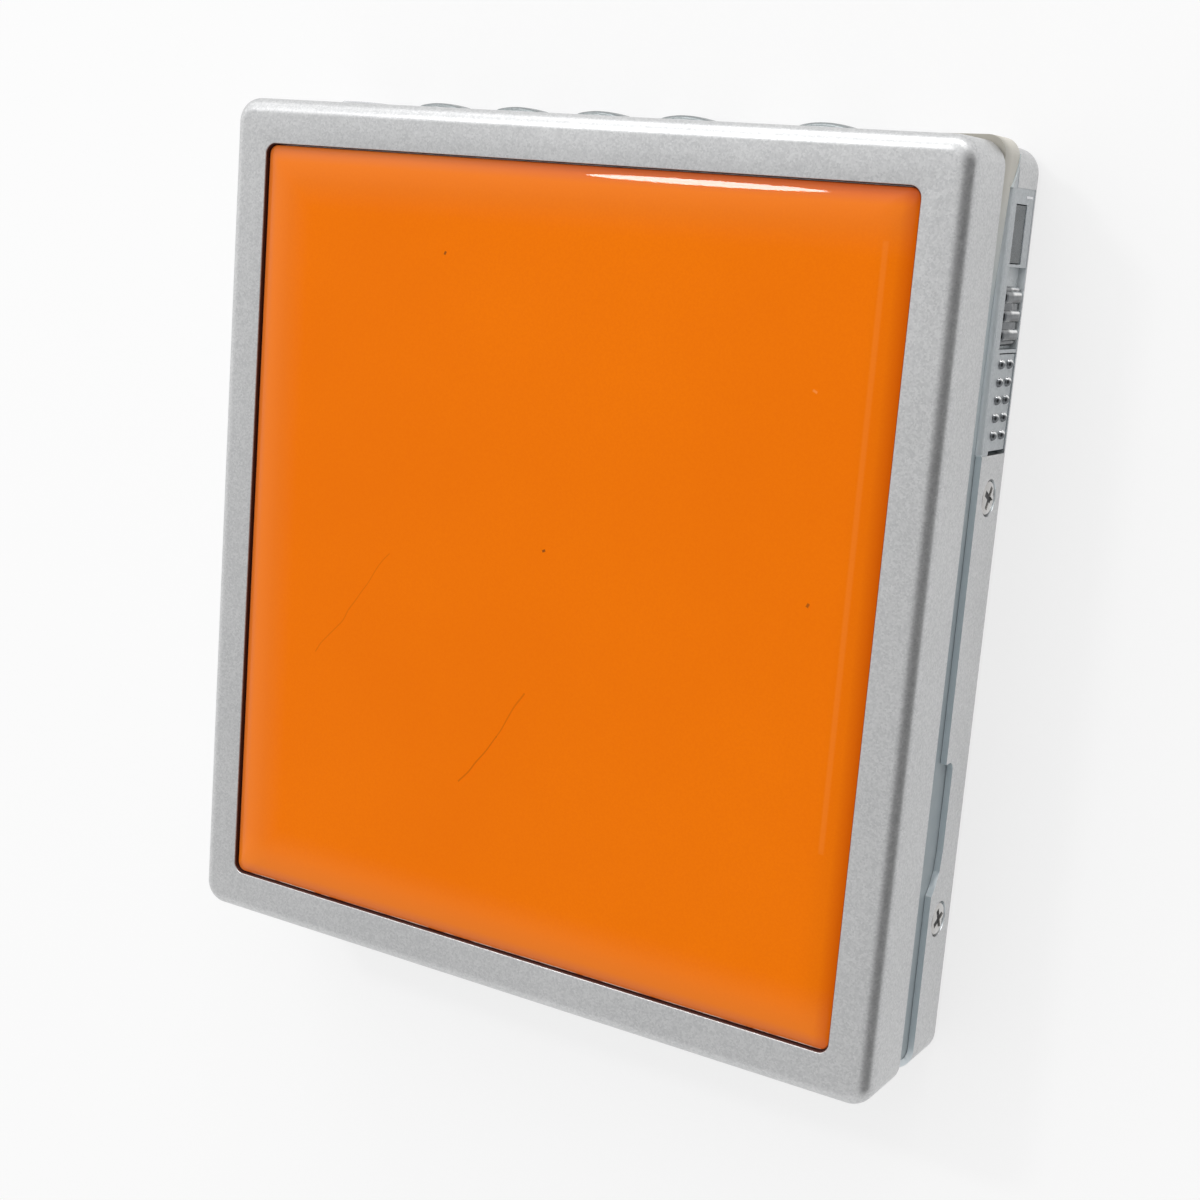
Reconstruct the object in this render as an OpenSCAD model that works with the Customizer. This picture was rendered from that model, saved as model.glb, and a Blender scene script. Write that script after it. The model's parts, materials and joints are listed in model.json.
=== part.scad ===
// Portable minidisc player: clamshell case, swing-up cartridge holder, playback mechanism and controls
// X runs across the lid, Y towards the key edge, Z out of the lid; the origin is on the rear face

/* [Case] */
// Width of the closed player across the lid
body_w = 72; // [65:0.5:80]
// Height of the closed player from the bottom edge to the key edge
body_h = 78; // [70:0.5:86]
// Thickness from the rear face to the front rim
body_t = 15.4; // [14:0.1:18]
// Outer corner radius of the lid seen from the front
corner_r = 2.2; // [2:0.1:4]
// Step from the lid outline in to the rear shell
shell_inset = 0.12; // [0.1:0.02:0.3]
// Sheet thickness of the rear shell wall
shell_wall = 0.55; // [0.5:0.05:0.7]
// Sheet thickness of the rear shell floor
shell_floor = 0.6; // [0.5:0.05:0.7]
// Height of the shell's front edge at the key end
shell_key_end = 6.4; // [6:0.1:6.6]
// Height of the shell's front edge at the other end
shell_far_end = 5.7; // [5.5:0.1:6.2]
// Fillet round the rear edge of the shell
rear_fillet = 0.9; // [0.6:0.1:1.1]
// Wall thickness of the inner frame
frame_wall = 0.7; // [0.6:0.05:0.9]
// Thickness of the inner frame's floor
frame_floor = 0.4; // [0.3:0.05:0.6]
// Gap between the closed lid and the inner frame
lid_gap = 0.3; // [0.2:0.05:0.5]
// How far the inner frame's lip stands out past the lid at the key edge
lip_out = 0.4; // [0.2:0.05:0.5]

/* [Lid] */
// Height of the lid's lower edge over the rear face
lid_z = 8.9; // [8.5:0.1:9.2]
// Thickness of the lid skirt
lid_wall = 1; // [0.8:0.05:1.2]
// Width of the silver rim round the panel
rim_w = 4; // [3:0.1:6]
// Fillet round the front edge of the lid
lid_fillet = 1.4; // [0.8:0.1:1.5]
// Corner radius of the panel opening
open_r = 1; // [0.8:0.1:2]
// Depth of the seat that the panel lies in
panel_recess = 1; // [0.8:0.05:1.2]
// Thickness of the ledge under the panel
ledge_t = 0.5; // [0.4:0.05:0.6]
// Width of the ledge under the panel
ledge_w = 3; // [2:0.1:4]
// Gap round the panel in its opening
panel_gap = 0.12; // [0.1:0.02:0.2]
// Rise of the panel's flat face over the rim
panel_crown = 0.1; // [0:0.05:0.3]
// Width of the curved zone along the panel's edges
panel_edge_w = 3.2; // [2:0.1:5]
// Drop of the panel's surface across the curved zone
panel_edge_drop = 0.55; // [0.3:0.05:0.6]
// Thickness of the tape under the panel
tape_t = 0.1; // [0.05:0.05:0.2]

/* [Hinge] */
// Radius of the hinge pin
pin_r = 0.6; // [0.5:0.05:0.7]
// Outer radius of the hinge knuckles
knuckle_r = 1.2; // [1.1:0.05:1.3]
// Distance of the hinge axis from the lid's inner side
hinge_inset = 1.4; // [1.3:0.05:1.5]
// Distance of the hinge axis below the cartridge bay
hinge_drop = 1.25; // [1.25:0.05:1.4]
// Length of each lid hinge arm
arm_len = 6; // [4:0.5:8]
// Distance of each lid hinge arm's middle from the end of the case
arm_end = 8; // [7.5:0.5:11]

/* [Cartridge holder] */
// Distance of the disc cartridge from the case outline at the key edge and opposite it
cart_side = 3; // [2.8:0.05:3.4]
// Part of the case width that the depth of the cartridge leaves over
cart_room = 4; // [3.8:0.05:4.5]
// Sheet thickness of the holder
holder_t = 0.3; // [0.25:0.05:0.4]
// Clearance over and under the cartridge
bay_clear = 0.1; // [0.05:0.05:0.15]

/* [Controls] */
// Width of each key
key_w = 6.2; // [5:0.1:7]
// Height of each key
key_h = 3; // [2.4:0.1:3.4]
// Height of the key row over the rear face
key_z = 4; // [3.6:0.1:4.2]
// Rise of the key domes over the lid outline
key_rise = 1; // [0.6:0.1:1.4]
// Press travel of the keys
key_travel = 0.4; // [0.3:0.05:0.5]
// Length of the hold knob
hold_len = 4.75; // [4:0.05:5]
// Slide travel of the hold knob
hold_travel = 1.3; // [1:0.05:1.5]
// Length of the open lever's pad
lever_len = 7.8; // [7:0.1:8]
// Radius of the grip dots on the open lever
dot_r = 0.4; // [0.3:0.02:0.45]
// Headphone socket bore radius
jack_r = 1.8; // [1.75:0.01:1.85]
// Depth of the headphone socket bore
jack_depth = 13; // [12:0.5:14]

/* [Mechanism] */
// Height of the deck's upper face over the floor of the inner frame
deck_rise = 6.17; // [6.1:0.01:6.3]
// Radius of the spindle motor can
motor_r = 8.5; // [7:0.1:9]
// Radius of the disc turntable
turntable_r = 6; // [5:0.1:6.4]
// Travel of the pickup sled
sled_travel = 14; // [10:0.5:14.3]
// Radius of the main guide shaft
shaft_r = 0.8; // [0.6:0.05:0.9]
// Radius of the lead screw
screw_r = 0.55; // [0.5:0.05:0.6]
// Running clearance on shafts and pins
run_clear = 0.05; // [0.03:0.01:0.08]

/* [Battery] */
// Room between the flat battery cell and the control panel
lever_room = 4.1; // [4:0.1:4.6]
// Room at both ends of the cell for the door, the contacts and the key switches
cell_ends = 8.2; // [8.2:0.1:12]
// Gap between the roof over the cell and the cartridge holder
roof_clear = 0.52; // [0.4:0.02:0.8]

/* [Hidden] */
$fn = 64;
cut = 0.5;
fit = 0.03;
arc_n = 10;
half_w = body_w / 2;
half_h = body_h / 2;

// Places inside are drawn for a case of 72 by 78 mm and move with its size
function lx(x) = x * body_w / 72;
function ly(y) = y * body_h / 78;

// Lid levels
lid_depth = body_t - lid_z;
lid_in_x = half_w - lid_wall;
lid_in_y = half_h - lid_wall;
seat_z = body_t - panel_recess;
ceiling_z = seat_z - ledge_t;
open_w = body_w - 2 * rim_w;
open_h = body_h - 2 * rim_w;
panel_z = seat_z + tape_t;
panel_top = body_t + panel_crown;
stiffener_t = 0.4;

// Case levels
shell_x = half_w - shell_inset;
shell_y = half_h - shell_inset;
shell_r = corner_r - shell_inset;
shell_in_x = shell_x - shell_wall;
shell_in_y = shell_y - shell_wall;
frame_x = shell_in_x - fit;
frame_y = shell_in_y - fit;
frame_r = shell_r - shell_wall - fit;
frame_in_x = frame_x - frame_wall;
frame_in_y = frame_y - frame_wall;
frame_in_r = frame_r - frame_wall;
frame_top = lid_z - lid_gap;
floor_z = shell_floor + fit;
floor_top = floor_z + frame_floor;
seam = 0.04;

// Lip of the inner frame, which swells out at the corner between the keys and the controls
frame_lip_x = [lx(-14), half_w - 0.25];
frame_lip_y = [ly(26), half_h + lip_out];
frame_lip_r = 1.5;
// The shell's edge dips there
dip_x = lx(24);
dip_z = shell_key_end - 1.1;
dip_run = 2;

// Hinge, under the cartridge bay
deck_top = floor_top + deck_rise;
bay_low = deck_top + 1.05;
hinge_x = -lid_in_x + hinge_inset;
hinge_z = bay_low - hinge_drop;
pin_bore = pin_r + run_clear;
arm_t = 0.6;
arm_y = half_h - arm_end;
barrel_y0 = 0.3 - arm_y + arm_len / 2;
barrel_y1 = arm_y - arm_len / 2 - 4.8;
hinge_wall_z = hinge_z - knuckle_r - 0.6;
hinge_end_z = hinge_z + knuckle_r;
hinge_zone_x = hinge_x + knuckle_r + 0.15;

// Cartridge bay and holder
bay_top = ceiling_z - 0.15 - holder_t;
cart_t = bay_top - bay_low - 2 * bay_clear;
cart_w = body_h - 2 * cart_side;
cart_d = body_w - cart_room;
bay_x = hinge_x - 0.25;
bay_y = cart_w / 2 + 0.3;
holder_back = bay_x - 0.05 - holder_t;
holder_mouth = bay_x + cart_d - 1.15;
holder_out_y = bay_y + holder_t;
lip_w = 2;
ear_r = 1.1;

// Mechanism under the cartridge bay
deck_t = 0.6;
deck_z = deck_top - deck_t;
spindle_x = bay_x + cart_d / 2;
deck_x0 = spindle_x - lx(31.5);
deck_x1 = spindle_x + lx(12.5);
deck_y = frame_in_y - 0.7;
shaft_z = deck_z - 2.1;
main_x = spindle_x - 8.2;
sub_x = spindle_x + 7.3;
sub_r = shaft_r * 0.8;
lead_x = spindle_x - 12;
front_tab_y = -deck_y;
rear_tab_y = -motor_r - 1.1;
tab_t = 0.6;
lens_y = rear_tab_y - 6.1;
sled_y1 = rear_tab_y - 0.7;
sled_y0 = sled_y1 - 10.8;
sled_top = deck_z - 0.3;
sled_z = shaft_z - 1.9;
damper_x = [spindle_x - lx(28.6), spindle_x + lx(10.7)];
damper_at = [[damper_x[0], ly(-31)], [damper_x[0], ly(20.5)],
  [damper_x[1], ly(-31.5)], [damper_x[1], ly(31.5)]];
motor_y = rear_tab_y + tab_t;
can_len = 9;
rotor_r = 1.7;
damper_r = 1.75;
damper_low = 0.85;
damper_high = 0.5;
post_top = deck_z - damper_low;
deck_screw_r = 0.7;

// Battery bay
cell_x = spindle_x + lx(13.4);
cell_x1 = frame_in_x + 0.05 - lever_room;
cell_w = cell_x1 - cell_x;
cell_len = 2 * frame_in_y - cell_ends;
cell_y1 = -frame_in_y + 0.7 + cell_len;
cell_z = floor_top + 0.05;
bay_wall = 0.5;
bay_gap = 0.1;
roof_t = 0.3;
roof_z = bay_low - holder_t - roof_clear - roof_t;
cell_t = roof_z - 0.05 - cell_z;

// Board
board_z = floor_top + 0.45;
board_t = 0.7;
board_top = board_z + board_t;

// Right-hand control panel
panel_face = shell_x - 0.03;
panel_in = frame_in_x + 0.05;
window_len = 4.7;
ctl_y1 = half_h - 3.4;
ctl_y0 = ctl_y1 - 2.55 - lever_len - hold_len - hold_travel - window_len;
ctl_z0 = 1;
ctl_z1 = lid_z - 2.6;
ctl_round = 0.6;
lever_y0 = ctl_y0 + 0.25;
lever_y1 = lever_y0 + lever_len;
lever_z0 = ctl_z0 + 0.05;
lever_z1 = 4.75;
lever_gap = 0.1;
lever_face = panel_face - 0.06;
lever_pin_r = 0.4;
lever_pin_x = panel_in - 0.9;
lever_pin_y = lever_y1 - 0.6;
dot_rows = 5;
dot_pitch_y = 1.44;
dot_pitch_z = 1.95;
dot_y = lever_y0 + 1.25;
dot_z = 2.2;
dot_sink = 0.19;
hold_y0 = lever_y1 + 0.4;
hold_z0 = 2.1;
hold_z1 = 4.9;
hold_floor = panel_face - 0.6;
window_y = ctl_y1 - 1.2 - window_len / 2;
window_z = 3.75;
window_h = 2.6;
catch_y = lever_y0 + 1.75;
catch_len = 3.8;
catch_z = lid_z - 2.4;

// Key edge
key_x = [for (x = [-20.3, -11.7, -3.1, 5.5, 18.7]) lx(x)];
key_clear = 0.12;
key_flange = 0.6;
dome_r = 9.4;
jack_x = lx(-29.6);
jack_z = 3.8;
jack_wall = 0.3;
collar_r = jack_r + 0.7;
collar_rise = 0.6;

// Fasteners
side_screw_y = [ctl_y0 - 3.66, 13.5 - half_h];
side_screw_z = 3.4;
case_head_r = 1.45;
case_head_t = 0.35;
case_shank_r = 0.7;
rear_screw_at = [[hinge_x + 0.5, ly(20)], [hinge_x + 0.5, ly(-20)]];

// Battery door
door_t = 1.2;
door_x0 = cell_x - 0.55;
door_x1 = cell_x1 + 0.55;
door_z0 = floor_top + 0.02;
door_z1 = roof_z + 0.1;
door_gap = 0.15;
door_knuckle = 0.66;
door_pin_r = 0.35;
door_pin_x = door_x0 + door_knuckle;
door_pin_y = -shell_y + door_knuckle;
door_pin_top = door_z1 + 0.42;

// Shared helpers

function arc_pts(x, y, r, a0, a1, n = arc_n) =
  [for (i = [0 : n]) [x + r * cos(a0 + (a1 - a0) * i / n), y + r * sin(a0 + (a1 - a0) * i / n)]];

function rr_pts(w, h, r) = concat(
  arc_pts(w / 2 - r, h / 2 - r, r, 0, 90),
  arc_pts(r - w / 2, h / 2 - r, r, 90, 180),
  arc_pts(r - w / 2, r - h / 2, r, 180, 270),
  arc_pts(w / 2 - r, r - h / 2, r, 270, 360));

function soft_pts(w, t, f) = concat(
  [[-w / 2, 0], [w / 2, 0]],
  arc_pts(w / 2 - f, t - f, f, 0, 90),
  arc_pts(f - w / 2, t - f, f, 90, 180));

function corner_pts(r, t, f) = concat([[0, 0], [r, 0]], arc_pts(r - f, t - f, f, 0, 90), [[0, t]]);

// Plate with rounded corners
module rr_slab(w, h, r, z0, z1) {
  translate([0, 0, z0])
    linear_extrude(z1 - z0)
      polygon(rr_pts(w, h, r));
}

// Block with rounded corners and a fillet round its upper edge
module soft_box(w, h, r, t, f) {
  rotate([90, 0, 90])
    translate([0, 0, r - w / 2])
      linear_extrude(w - 2 * r)
        polygon(soft_pts(h, t, f));
  rotate([90, 0, 0])
    translate([0, 0, r - h / 2])
      linear_extrude(h - 2 * r)
        polygon(soft_pts(w, t, f));
  for (q = [[1, 1, 0], [-1, 1, 90], [-1, -1, 180], [1, -1, 270]])
    translate([q[0] * (w / 2 - r), q[1] * (h / 2 - r), 0])
      rotate([0, 0, q[2]])
        rotate_extrude(angle = 90)
          polygon(corner_pts(r, t, f));
}

// Box given by its two opposite corners
module span(a, b) {
  translate(a)
    cube(b - a);
}

// Cylinders along X, Y and Z from one end
module rod_x(p, r, l) {
  translate(p)
    rotate([0, 90, 0])
      cylinder(r = r, h = l);
}

module rod_y(p, r, l) {
  translate(p)
    rotate([-90, 0, 0])
      cylinder(r = r, h = l);
}

module rod_z(p, r, l) {
  translate(p)
    cylinder(r = r, h = l);
}

// Stadium-shaped bar along Y, as wide as w and as high as h
module bar_y(x, y, z, w, h, l) {
  for (s = [-1, 1])
    rod_y([x + s * (w - h) / 2, y, z], h / 2, l);
  span([x - (w - h) / 2, y, z - h / 2], [x + (w - h) / 2, y + l, z + h / 2]);
}

// Cross recess of a small screw, cut down from z = 0
module cross_recess(len, wide, deep) {
  for (a = [0, 90])
    rotate([0, 0, a])
      translate([-len / 2, -wide / 2, -deep])
        cube([len, wide, deep + cut]);
}

// Small screw with its head's face at z = 0 and its shank below
module small_screw(head_r, head_t, shank_r, shank_l) {
  difference() {
    union() {
      translate([0, 0, -head_t])
        cylinder(r = head_r, h = head_t);
      translate([0, 0, -head_t - shank_l])
        cylinder(r = shank_r, h = shank_l + cut / 2);
    }
    cross_recess(head_r * 1.25, head_r * 0.26, head_t * 0.7);
  }
}

// Coil of round wire as a chain of short rings, standing on z = 0
module coil(r, wire, turns, l) {
  steps = 10;
  pitch = (l - 2 * wire) / turns;
  sides = 6;
  n = turns * steps;
  pts = [for (i = [0 : n]) for (j = [0 : sides - 1])
    let (a = 360 * i / steps, b = 360 * j / sides, q = r + wire * cos(b))
    [q * cos(a), q * sin(a), wire + pitch * i / steps + wire * sin(b)]];
  skin = [for (i = [0 : n - 1]) for (j = [0 : sides - 1])
    [i * sides + j, i * sides + (j + 1) % sides,
      (i + 1) * sides + (j + 1) % sides, (i + 1) * sides + j]];
  low_cap = [[for (j = [0 : sides - 1]) sides - 1 - j]];
  high_cap = [[for (j = [0 : sides - 1]) n * sides + j]];
  polyhedron(points = pts, faces = concat(low_cap, skin, high_cap));
}

// Lid

module lid_frame() {
  color("silver")
    difference() {
      translate([0, 0, lid_z])
        soft_box(body_w, body_h, corner_r, lid_depth, lid_fillet);
      rr_slab(2 * lid_in_x, 2 * lid_in_y, corner_r - lid_wall, lid_z - cut, ceiling_z);
      rr_slab(open_w, open_h, open_r, seat_z, body_t + cut);
      rr_slab(open_w - 2 * ledge_w, open_h - 2 * ledge_w, open_r, ceiling_z - cut, seat_z + cut);
    }
}

// Half of the panel's cross-section is a flat top that falls away along the edge
function dome_pts(w) =
  let (big = (panel_edge_w * panel_edge_w + panel_edge_drop * panel_edge_drop) / (2 * panel_edge_drop),
    sweep = asin(panel_edge_w / big), h = panel_top - panel_z)
  concat([[-w / 2, 0], [w / 2, 0]],
    arc_pts(w / 2 - panel_edge_w, h - big, big, 90 - sweep, 90),
    arc_pts(panel_edge_w - w / 2, h - big, big, 90, 90 + sweep));

module front_panel() {
  pw = open_w - 2 * panel_gap;
  ph = open_h - 2 * panel_gap;
  color("orange")
    translate([0, 0, panel_z])
      intersection() {
        linear_extrude(panel_top)
          polygon(rr_pts(pw, ph, open_r - panel_gap));
        translate([0, ph, 0])
          rotate([90, 0, 0])
            linear_extrude(2 * ph)
              polygon(dome_pts(pw));
        translate([-pw, 0, 0])
          rotate([90, 0, 90])
            linear_extrude(2 * pw)
              polygon(dome_pts(ph));
      }
}

module panel_tape() {
  inset = panel_gap + fit;
  color("dimgray")
    difference() {
      rr_slab(open_w - 2 * inset, open_h - 2 * inset, open_r - inset / 2, seat_z, panel_z);
      rr_slab(open_w - 2 * ledge_w + inset, open_h - 2 * ledge_w + inset, open_r, seat_z - cut, panel_z + cut);
    }
}

module panel_stiffener() {
  gap = 0.25;
  color("gainsboro")
    rr_slab(open_w - 2 * (ledge_w + gap), open_h - 2 * (ledge_w + gap), open_r,
      panel_z - stiffener_t, panel_z);
}

module lid_hinge_arms() {
  color("lightsteelblue")
    for (s = [-1, 1])
      difference() {
        union() {
          span([-lid_in_x, s * arm_y - arm_len / 2, hinge_z],
            [arm_t - lid_in_x, s * arm_y + arm_len / 2, ceiling_z]);
          rod_y([hinge_x, s * arm_y - arm_len / 2, hinge_z], knuckle_r, arm_len);
        }
        rod_y([hinge_x, s * arm_y - arm_len / 2 - cut, hinge_z], pin_bore, arm_len + 2 * cut);
      }
}

module lid_catch() {
  tab_in = lid_in_x - 0.55;
  tab_out = lid_in_x - 0.1;
  hole_z = catch_z + 0.5;
  color("lightsteelblue")
    difference() {
      union() {
        span([tab_in, catch_y - catch_len / 2, catch_z],
          [tab_out, catch_y + catch_len / 2, lid_z + 3]);
        span([tab_in, catch_y - catch_len / 2, lid_z + 0.4],
          [lid_in_x, catch_y + catch_len / 2, lid_z + 3]);
      }
      span([tab_in - cut, catch_y - catch_len / 4, hole_z],
        [tab_out + cut, catch_y + catch_len / 4, hole_z + 0.9]);
    }
}

// Cartridge holder

module cartridge_holder() {
  win_w = lx(40);
  win_h = ly(44);
  leaf_w = 4;
  leaf_len = lx(22);
  leaf_y = ly(29);
  slit = 0.8;
  lip_x = hinge_x + 3.6;
  color("lightgray")
    difference() {
      union() {
        span([holder_back, -holder_out_y, bay_top], [holder_mouth, holder_out_y, bay_top + holder_t]);
        span([holder_back, -holder_out_y, bay_low + 0.25],
          [holder_back + holder_t, holder_out_y, bay_top + holder_t]);
        for (s = [-1, 1]) {
          span([holder_back, s * bay_y - (s < 0 ? holder_t : 0), bay_low - holder_t],
            [holder_mouth, s * bay_y + (s > 0 ? holder_t : 0), bay_top + holder_t]);
          span([lip_x, s > 0 ? holder_out_y - lip_w : -holder_out_y, bay_low - holder_t],
            [holder_mouth, s > 0 ? holder_out_y : lip_w - holder_out_y, bay_low]);
          span([hinge_x - ear_r / 2, s * bay_y - (s < 0 ? holder_t : 0), hinge_z],
            [hinge_x + 2 * ear_r, s * bay_y + (s > 0 ? holder_t : 0), bay_low]);
          rod_y([hinge_x, s * bay_y - (s < 0 ? holder_t : 0), hinge_z], ear_r, holder_t);
        }
      }
      translate([spindle_x, 0, bay_top - cut])
        linear_extrude(holder_t + 2 * cut)
          polygon(rr_pts(win_w, win_h, 3));
      for (s = [-1, 1]) {
        for (e = [-1, 1])
          span([spindle_x - leaf_len / 2, s * leaf_y + e * (leaf_w + slit) / 2 - slit / 2, bay_top - cut],
            [spindle_x + leaf_len / 2, s * leaf_y + e * (leaf_w + slit) / 2 + slit / 2, bay_top + cut]);
        span([spindle_x + leaf_len / 2 - slit, s * leaf_y - leaf_w / 2 - slit, bay_top - cut],
          [spindle_x + leaf_len / 2, s * leaf_y + leaf_w / 2 + slit, bay_top + cut]);
      }
      rod_y([hinge_x, -holder_out_y - cut, hinge_z], pin_bore, 2 * (holder_out_y + cut));
    }
}

module cartridge_detent_springs() {
  leaf_t = 0.2;
  leaf_h = 2;
  leaf_x = [holder_mouth - 24, holder_mouth - 6];
  mid_z = (bay_low + bay_top) / 2;
  color("darkgray")
    for (s = [-1, 1])
      span([leaf_x[0], s > 0 ? holder_out_y : -holder_out_y - leaf_t, mid_z - leaf_h / 2],
        [leaf_x[1], s > 0 ? holder_out_y + leaf_t : -holder_out_y, mid_z + leaf_h / 2]);
}

// Inner frame

module frame_ring() {
  difference() {
    rr_slab(2 * frame_x, 2 * frame_y, frame_r, floor_z, frame_top);
    rr_slab(2 * frame_in_x, 2 * frame_in_y, frame_in_r, floor_top, frame_top + cut);
    // Left side drops away for the hinge
    span([-frame_x - cut, -frame_y - cut, hinge_end_z], [hinge_zone_x, frame_y + cut, frame_top + cut]);
    span([-frame_x - cut, -frame_in_y + cut, hinge_wall_z], [hinge_zone_x, frame_in_y - cut, frame_top + cut]);
  }
}

function frame_lip_pts() = concat(
  [[frame_in_x, frame_lip_y[0]], [frame_x, frame_lip_y[0]]],
  arc_pts(frame_lip_x[1] - frame_lip_r, frame_lip_y[1] - frame_lip_r, frame_lip_r, 0, 90),
  [[frame_lip_x[0], frame_y], [frame_lip_x[0], frame_in_y]]);

module frame_lip() {
  low = dip_z + fit;
  difference() {
    translate([0, 0, low])
      linear_extrude(frame_top - low)
        polygon(frame_lip_pts());
    rr_slab(2 * frame_in_x, 2 * frame_in_y, frame_in_r, low - cut, frame_top + cut);
    // Room for the shell and the controls under it
    span([frame_in_x - cut, 0, low - cut], [half_w, ctl_y1 + seam, shell_key_end + fit]);
    span([-half_w, frame_in_y - cut, low - cut], [dip_x + dip_run + fit, half_h + cut, shell_key_end + fit]);
  }
}

// Ribs, posts and bosses that stand on the frame's floor
module frame_fittings() {
  for (p = damper_at)
    rod_z([p[0], p[1], floor_z], 1.5, post_top - floor_z);
  // Battery bay walls and roof
  for (x = [cell_x - bay_gap - bay_wall, cell_x1 + bay_gap])
    span([x, -frame_in_y - frame_wall / 2, floor_z], [x + bay_wall, cell_y1 + 1.4, roof_z + roof_t]);
  span([cell_x - bay_gap - bay_wall, -frame_in_y - frame_wall / 2, roof_z],
    [cell_x1 + bay_gap + bay_wall, cell_y1 + 1.4, roof_z + roof_t]);
  span([cell_x - bay_gap - bay_wall, cell_y1 + 0.9, floor_z],
    [cell_x1 + bay_gap + bay_wall, cell_y1 + 1.4, roof_z + roof_t]);
  // Middle hinge barrel and its web
  rod_y([hinge_x, barrel_y0, hinge_z], knuckle_r, barrel_y1 - barrel_y0);
  span([-frame_x, barrel_y0, floor_z], [hinge_x + knuckle_r, barrel_y1, hinge_z]);
  // Bosses for the case screws
  for (y = side_screw_y)
    span([frame_in_x - 2.2, y - 1.6, floor_z], [frame_x, y + 1.6, side_screw_z + 1.6]);
  for (p = rear_screw_at)
    rod_z([p[0], p[1], floor_z], 1.3, hinge_wall_z - floor_z);
  // Pads under the board
  for (p = [[-25, -34], [-18, 14], [-4, 33], [24, 34.5]])
    rod_z([spindle_x + lx(p[0]), ly(p[1]), floor_z], 1.2, board_z - floor_z);
}

module mid_frame() {
  color("ivory")
    difference() {
      union() {
        frame_ring();
        frame_lip();
        frame_fittings();
      }
      // Hinge pin and screw holes
      rod_y([hinge_x, -frame_in_y - frame_wall / 2, hinge_z], pin_r + fit, 2 * frame_in_y + frame_wall);
      for (p = damper_at)
        rod_z([p[0], p[1], floor_top + 0.8], deck_screw_r + fit, post_top);
      for (y = side_screw_y)
        rod_x([frame_in_x - 2.2 - cut, y, side_screw_z], case_shank_r + fit, 4);
      for (p = rear_screw_at)
        rod_z([p[0], p[1], floor_z - cut], case_shank_r + fit, 3.6);
      // Right-hand control panel, with the catch pocket over it
      span([frame_in_x - cut, ctl_y0 - 0.1, ctl_z0 - 0.03], [frame_x + cut, ctl_y1 + seam, ctl_z1 + seam]);
      span([frame_in_x - cut, catch_y - catch_len / 2 - 0.3, catch_z - 0.3],
        [lid_in_x + 0.1, catch_y + catch_len / 2 + 0.3, frame_top + cut]);
      // Keys, headphone socket and battery door
      for (x = key_x)
        bar_y(x, frame_in_y - cut, key_z, key_w + 2 * key_clear, key_h + 2 * key_clear, frame_wall + 2 * cut);
      rod_y([jack_x, frame_in_y - cut, jack_z], jack_r + jack_wall + fit, frame_wall + 2 * cut);
      span([cell_x - bay_gap, -frame_y - cut, cell_z - 0.02],
        [cell_x1 + bay_gap, cell_y1 + 0.9, roof_z]);
      door_room();
      door_pin_hole();
    }
}

// Room that the battery door takes out of the walls round it
module door_room() {
  span([door_pin_x, -shell_y - cut, door_z0 - 0.02],
    [door_x1 + door_gap, -shell_y + door_t + door_gap, door_z1 + door_gap]);
  rod_z([door_pin_x, door_pin_y, door_z0 - 0.02], door_knuckle + door_gap, door_z1 + door_gap - door_z0 + 0.02);
  span([door_pin_x - door_knuckle - door_gap, -shell_y - cut, door_z0 - 0.02],
    [door_pin_x + door_gap, door_pin_y, door_z1 + door_gap]);
}

module door_pin_hole() {
  rod_z([door_pin_x, door_pin_y, shell_floor], door_pin_r + fit, door_pin_top + fit - shell_floor);
}

// Rear shell

module rear_shell() {
  rise = shell_key_end + 1;
  tilt = atan((shell_key_end - shell_far_end) / body_h);
  mid_z = (shell_key_end + shell_far_end) / 2;
  color("silver")
    difference() {
      translate([0, 0, rise])
        rotate([180, 0, 0])
          soft_box(2 * shell_x, 2 * shell_y, shell_r, rise, rear_fillet);
      rr_slab(2 * shell_in_x, 2 * shell_in_y, shell_r - shell_wall, shell_floor, rise + cut);
      // Front edge, lower towards the far end
      translate([0, 0, mid_z])
        rotate([tilt, 0, 0])
          translate([-body_w, -body_h, 0])
            cube([2 * body_w, 2 * body_h, rise]);
      // Dip at the corner of the inner frame's lip
      translate([0, half_h + cut, 0])
        rotate([90, 0, 0])
          linear_extrude(half_h + cut - ctl_y1)
            polygon([[dip_x, shell_key_end], [dip_x + dip_run, dip_z], [half_w, dip_z],
              [half_w, rise + cut], [dip_x, rise + cut]]);
      // Finger notch on the opening side
      translate([shell_x - 2 * shell_wall, 0, 0])
        rotate([90, 0, 90])
          linear_extrude(4 * shell_wall)
            polygon(notch_pts());
      // Room for the control panel
      span([shell_in_x - 2 * shell_wall, ctl_y0 - 0.1, ctl_z0 - 0.03], [shell_x + cut, ctl_y1 + seam, rise + cut]);
      // Keys, headphone socket and battery door
      for (x = key_x)
        bar_y(x, shell_in_y - cut, key_z, key_w + 2 * key_clear, key_h + 2 * key_clear, shell_wall + 2 * cut);
      rod_y([jack_x, shell_in_y - cut, jack_z], jack_r + jack_wall + fit, shell_wall + 2 * cut);
      door_room();
      door_pin_hole();
      // Screw holes, sunk for the heads
      for (y = side_screw_y) {
        rod_x([shell_in_x - cut, y, side_screw_z], case_shank_r + 2 * fit, shell_wall + 2 * cut);
        rod_x([shell_x - case_head_t, y, side_screw_z], case_head_r + 0.12, case_head_t + cut);
      }
      for (p = rear_screw_at) {
        rod_z([p[0], p[1], -cut], case_shank_r + 2 * fit, shell_floor + 2 * cut);
        rod_z([p[0], p[1], -cut], case_head_r + 0.12, case_head_t + cut);
      }
    }
}

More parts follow.
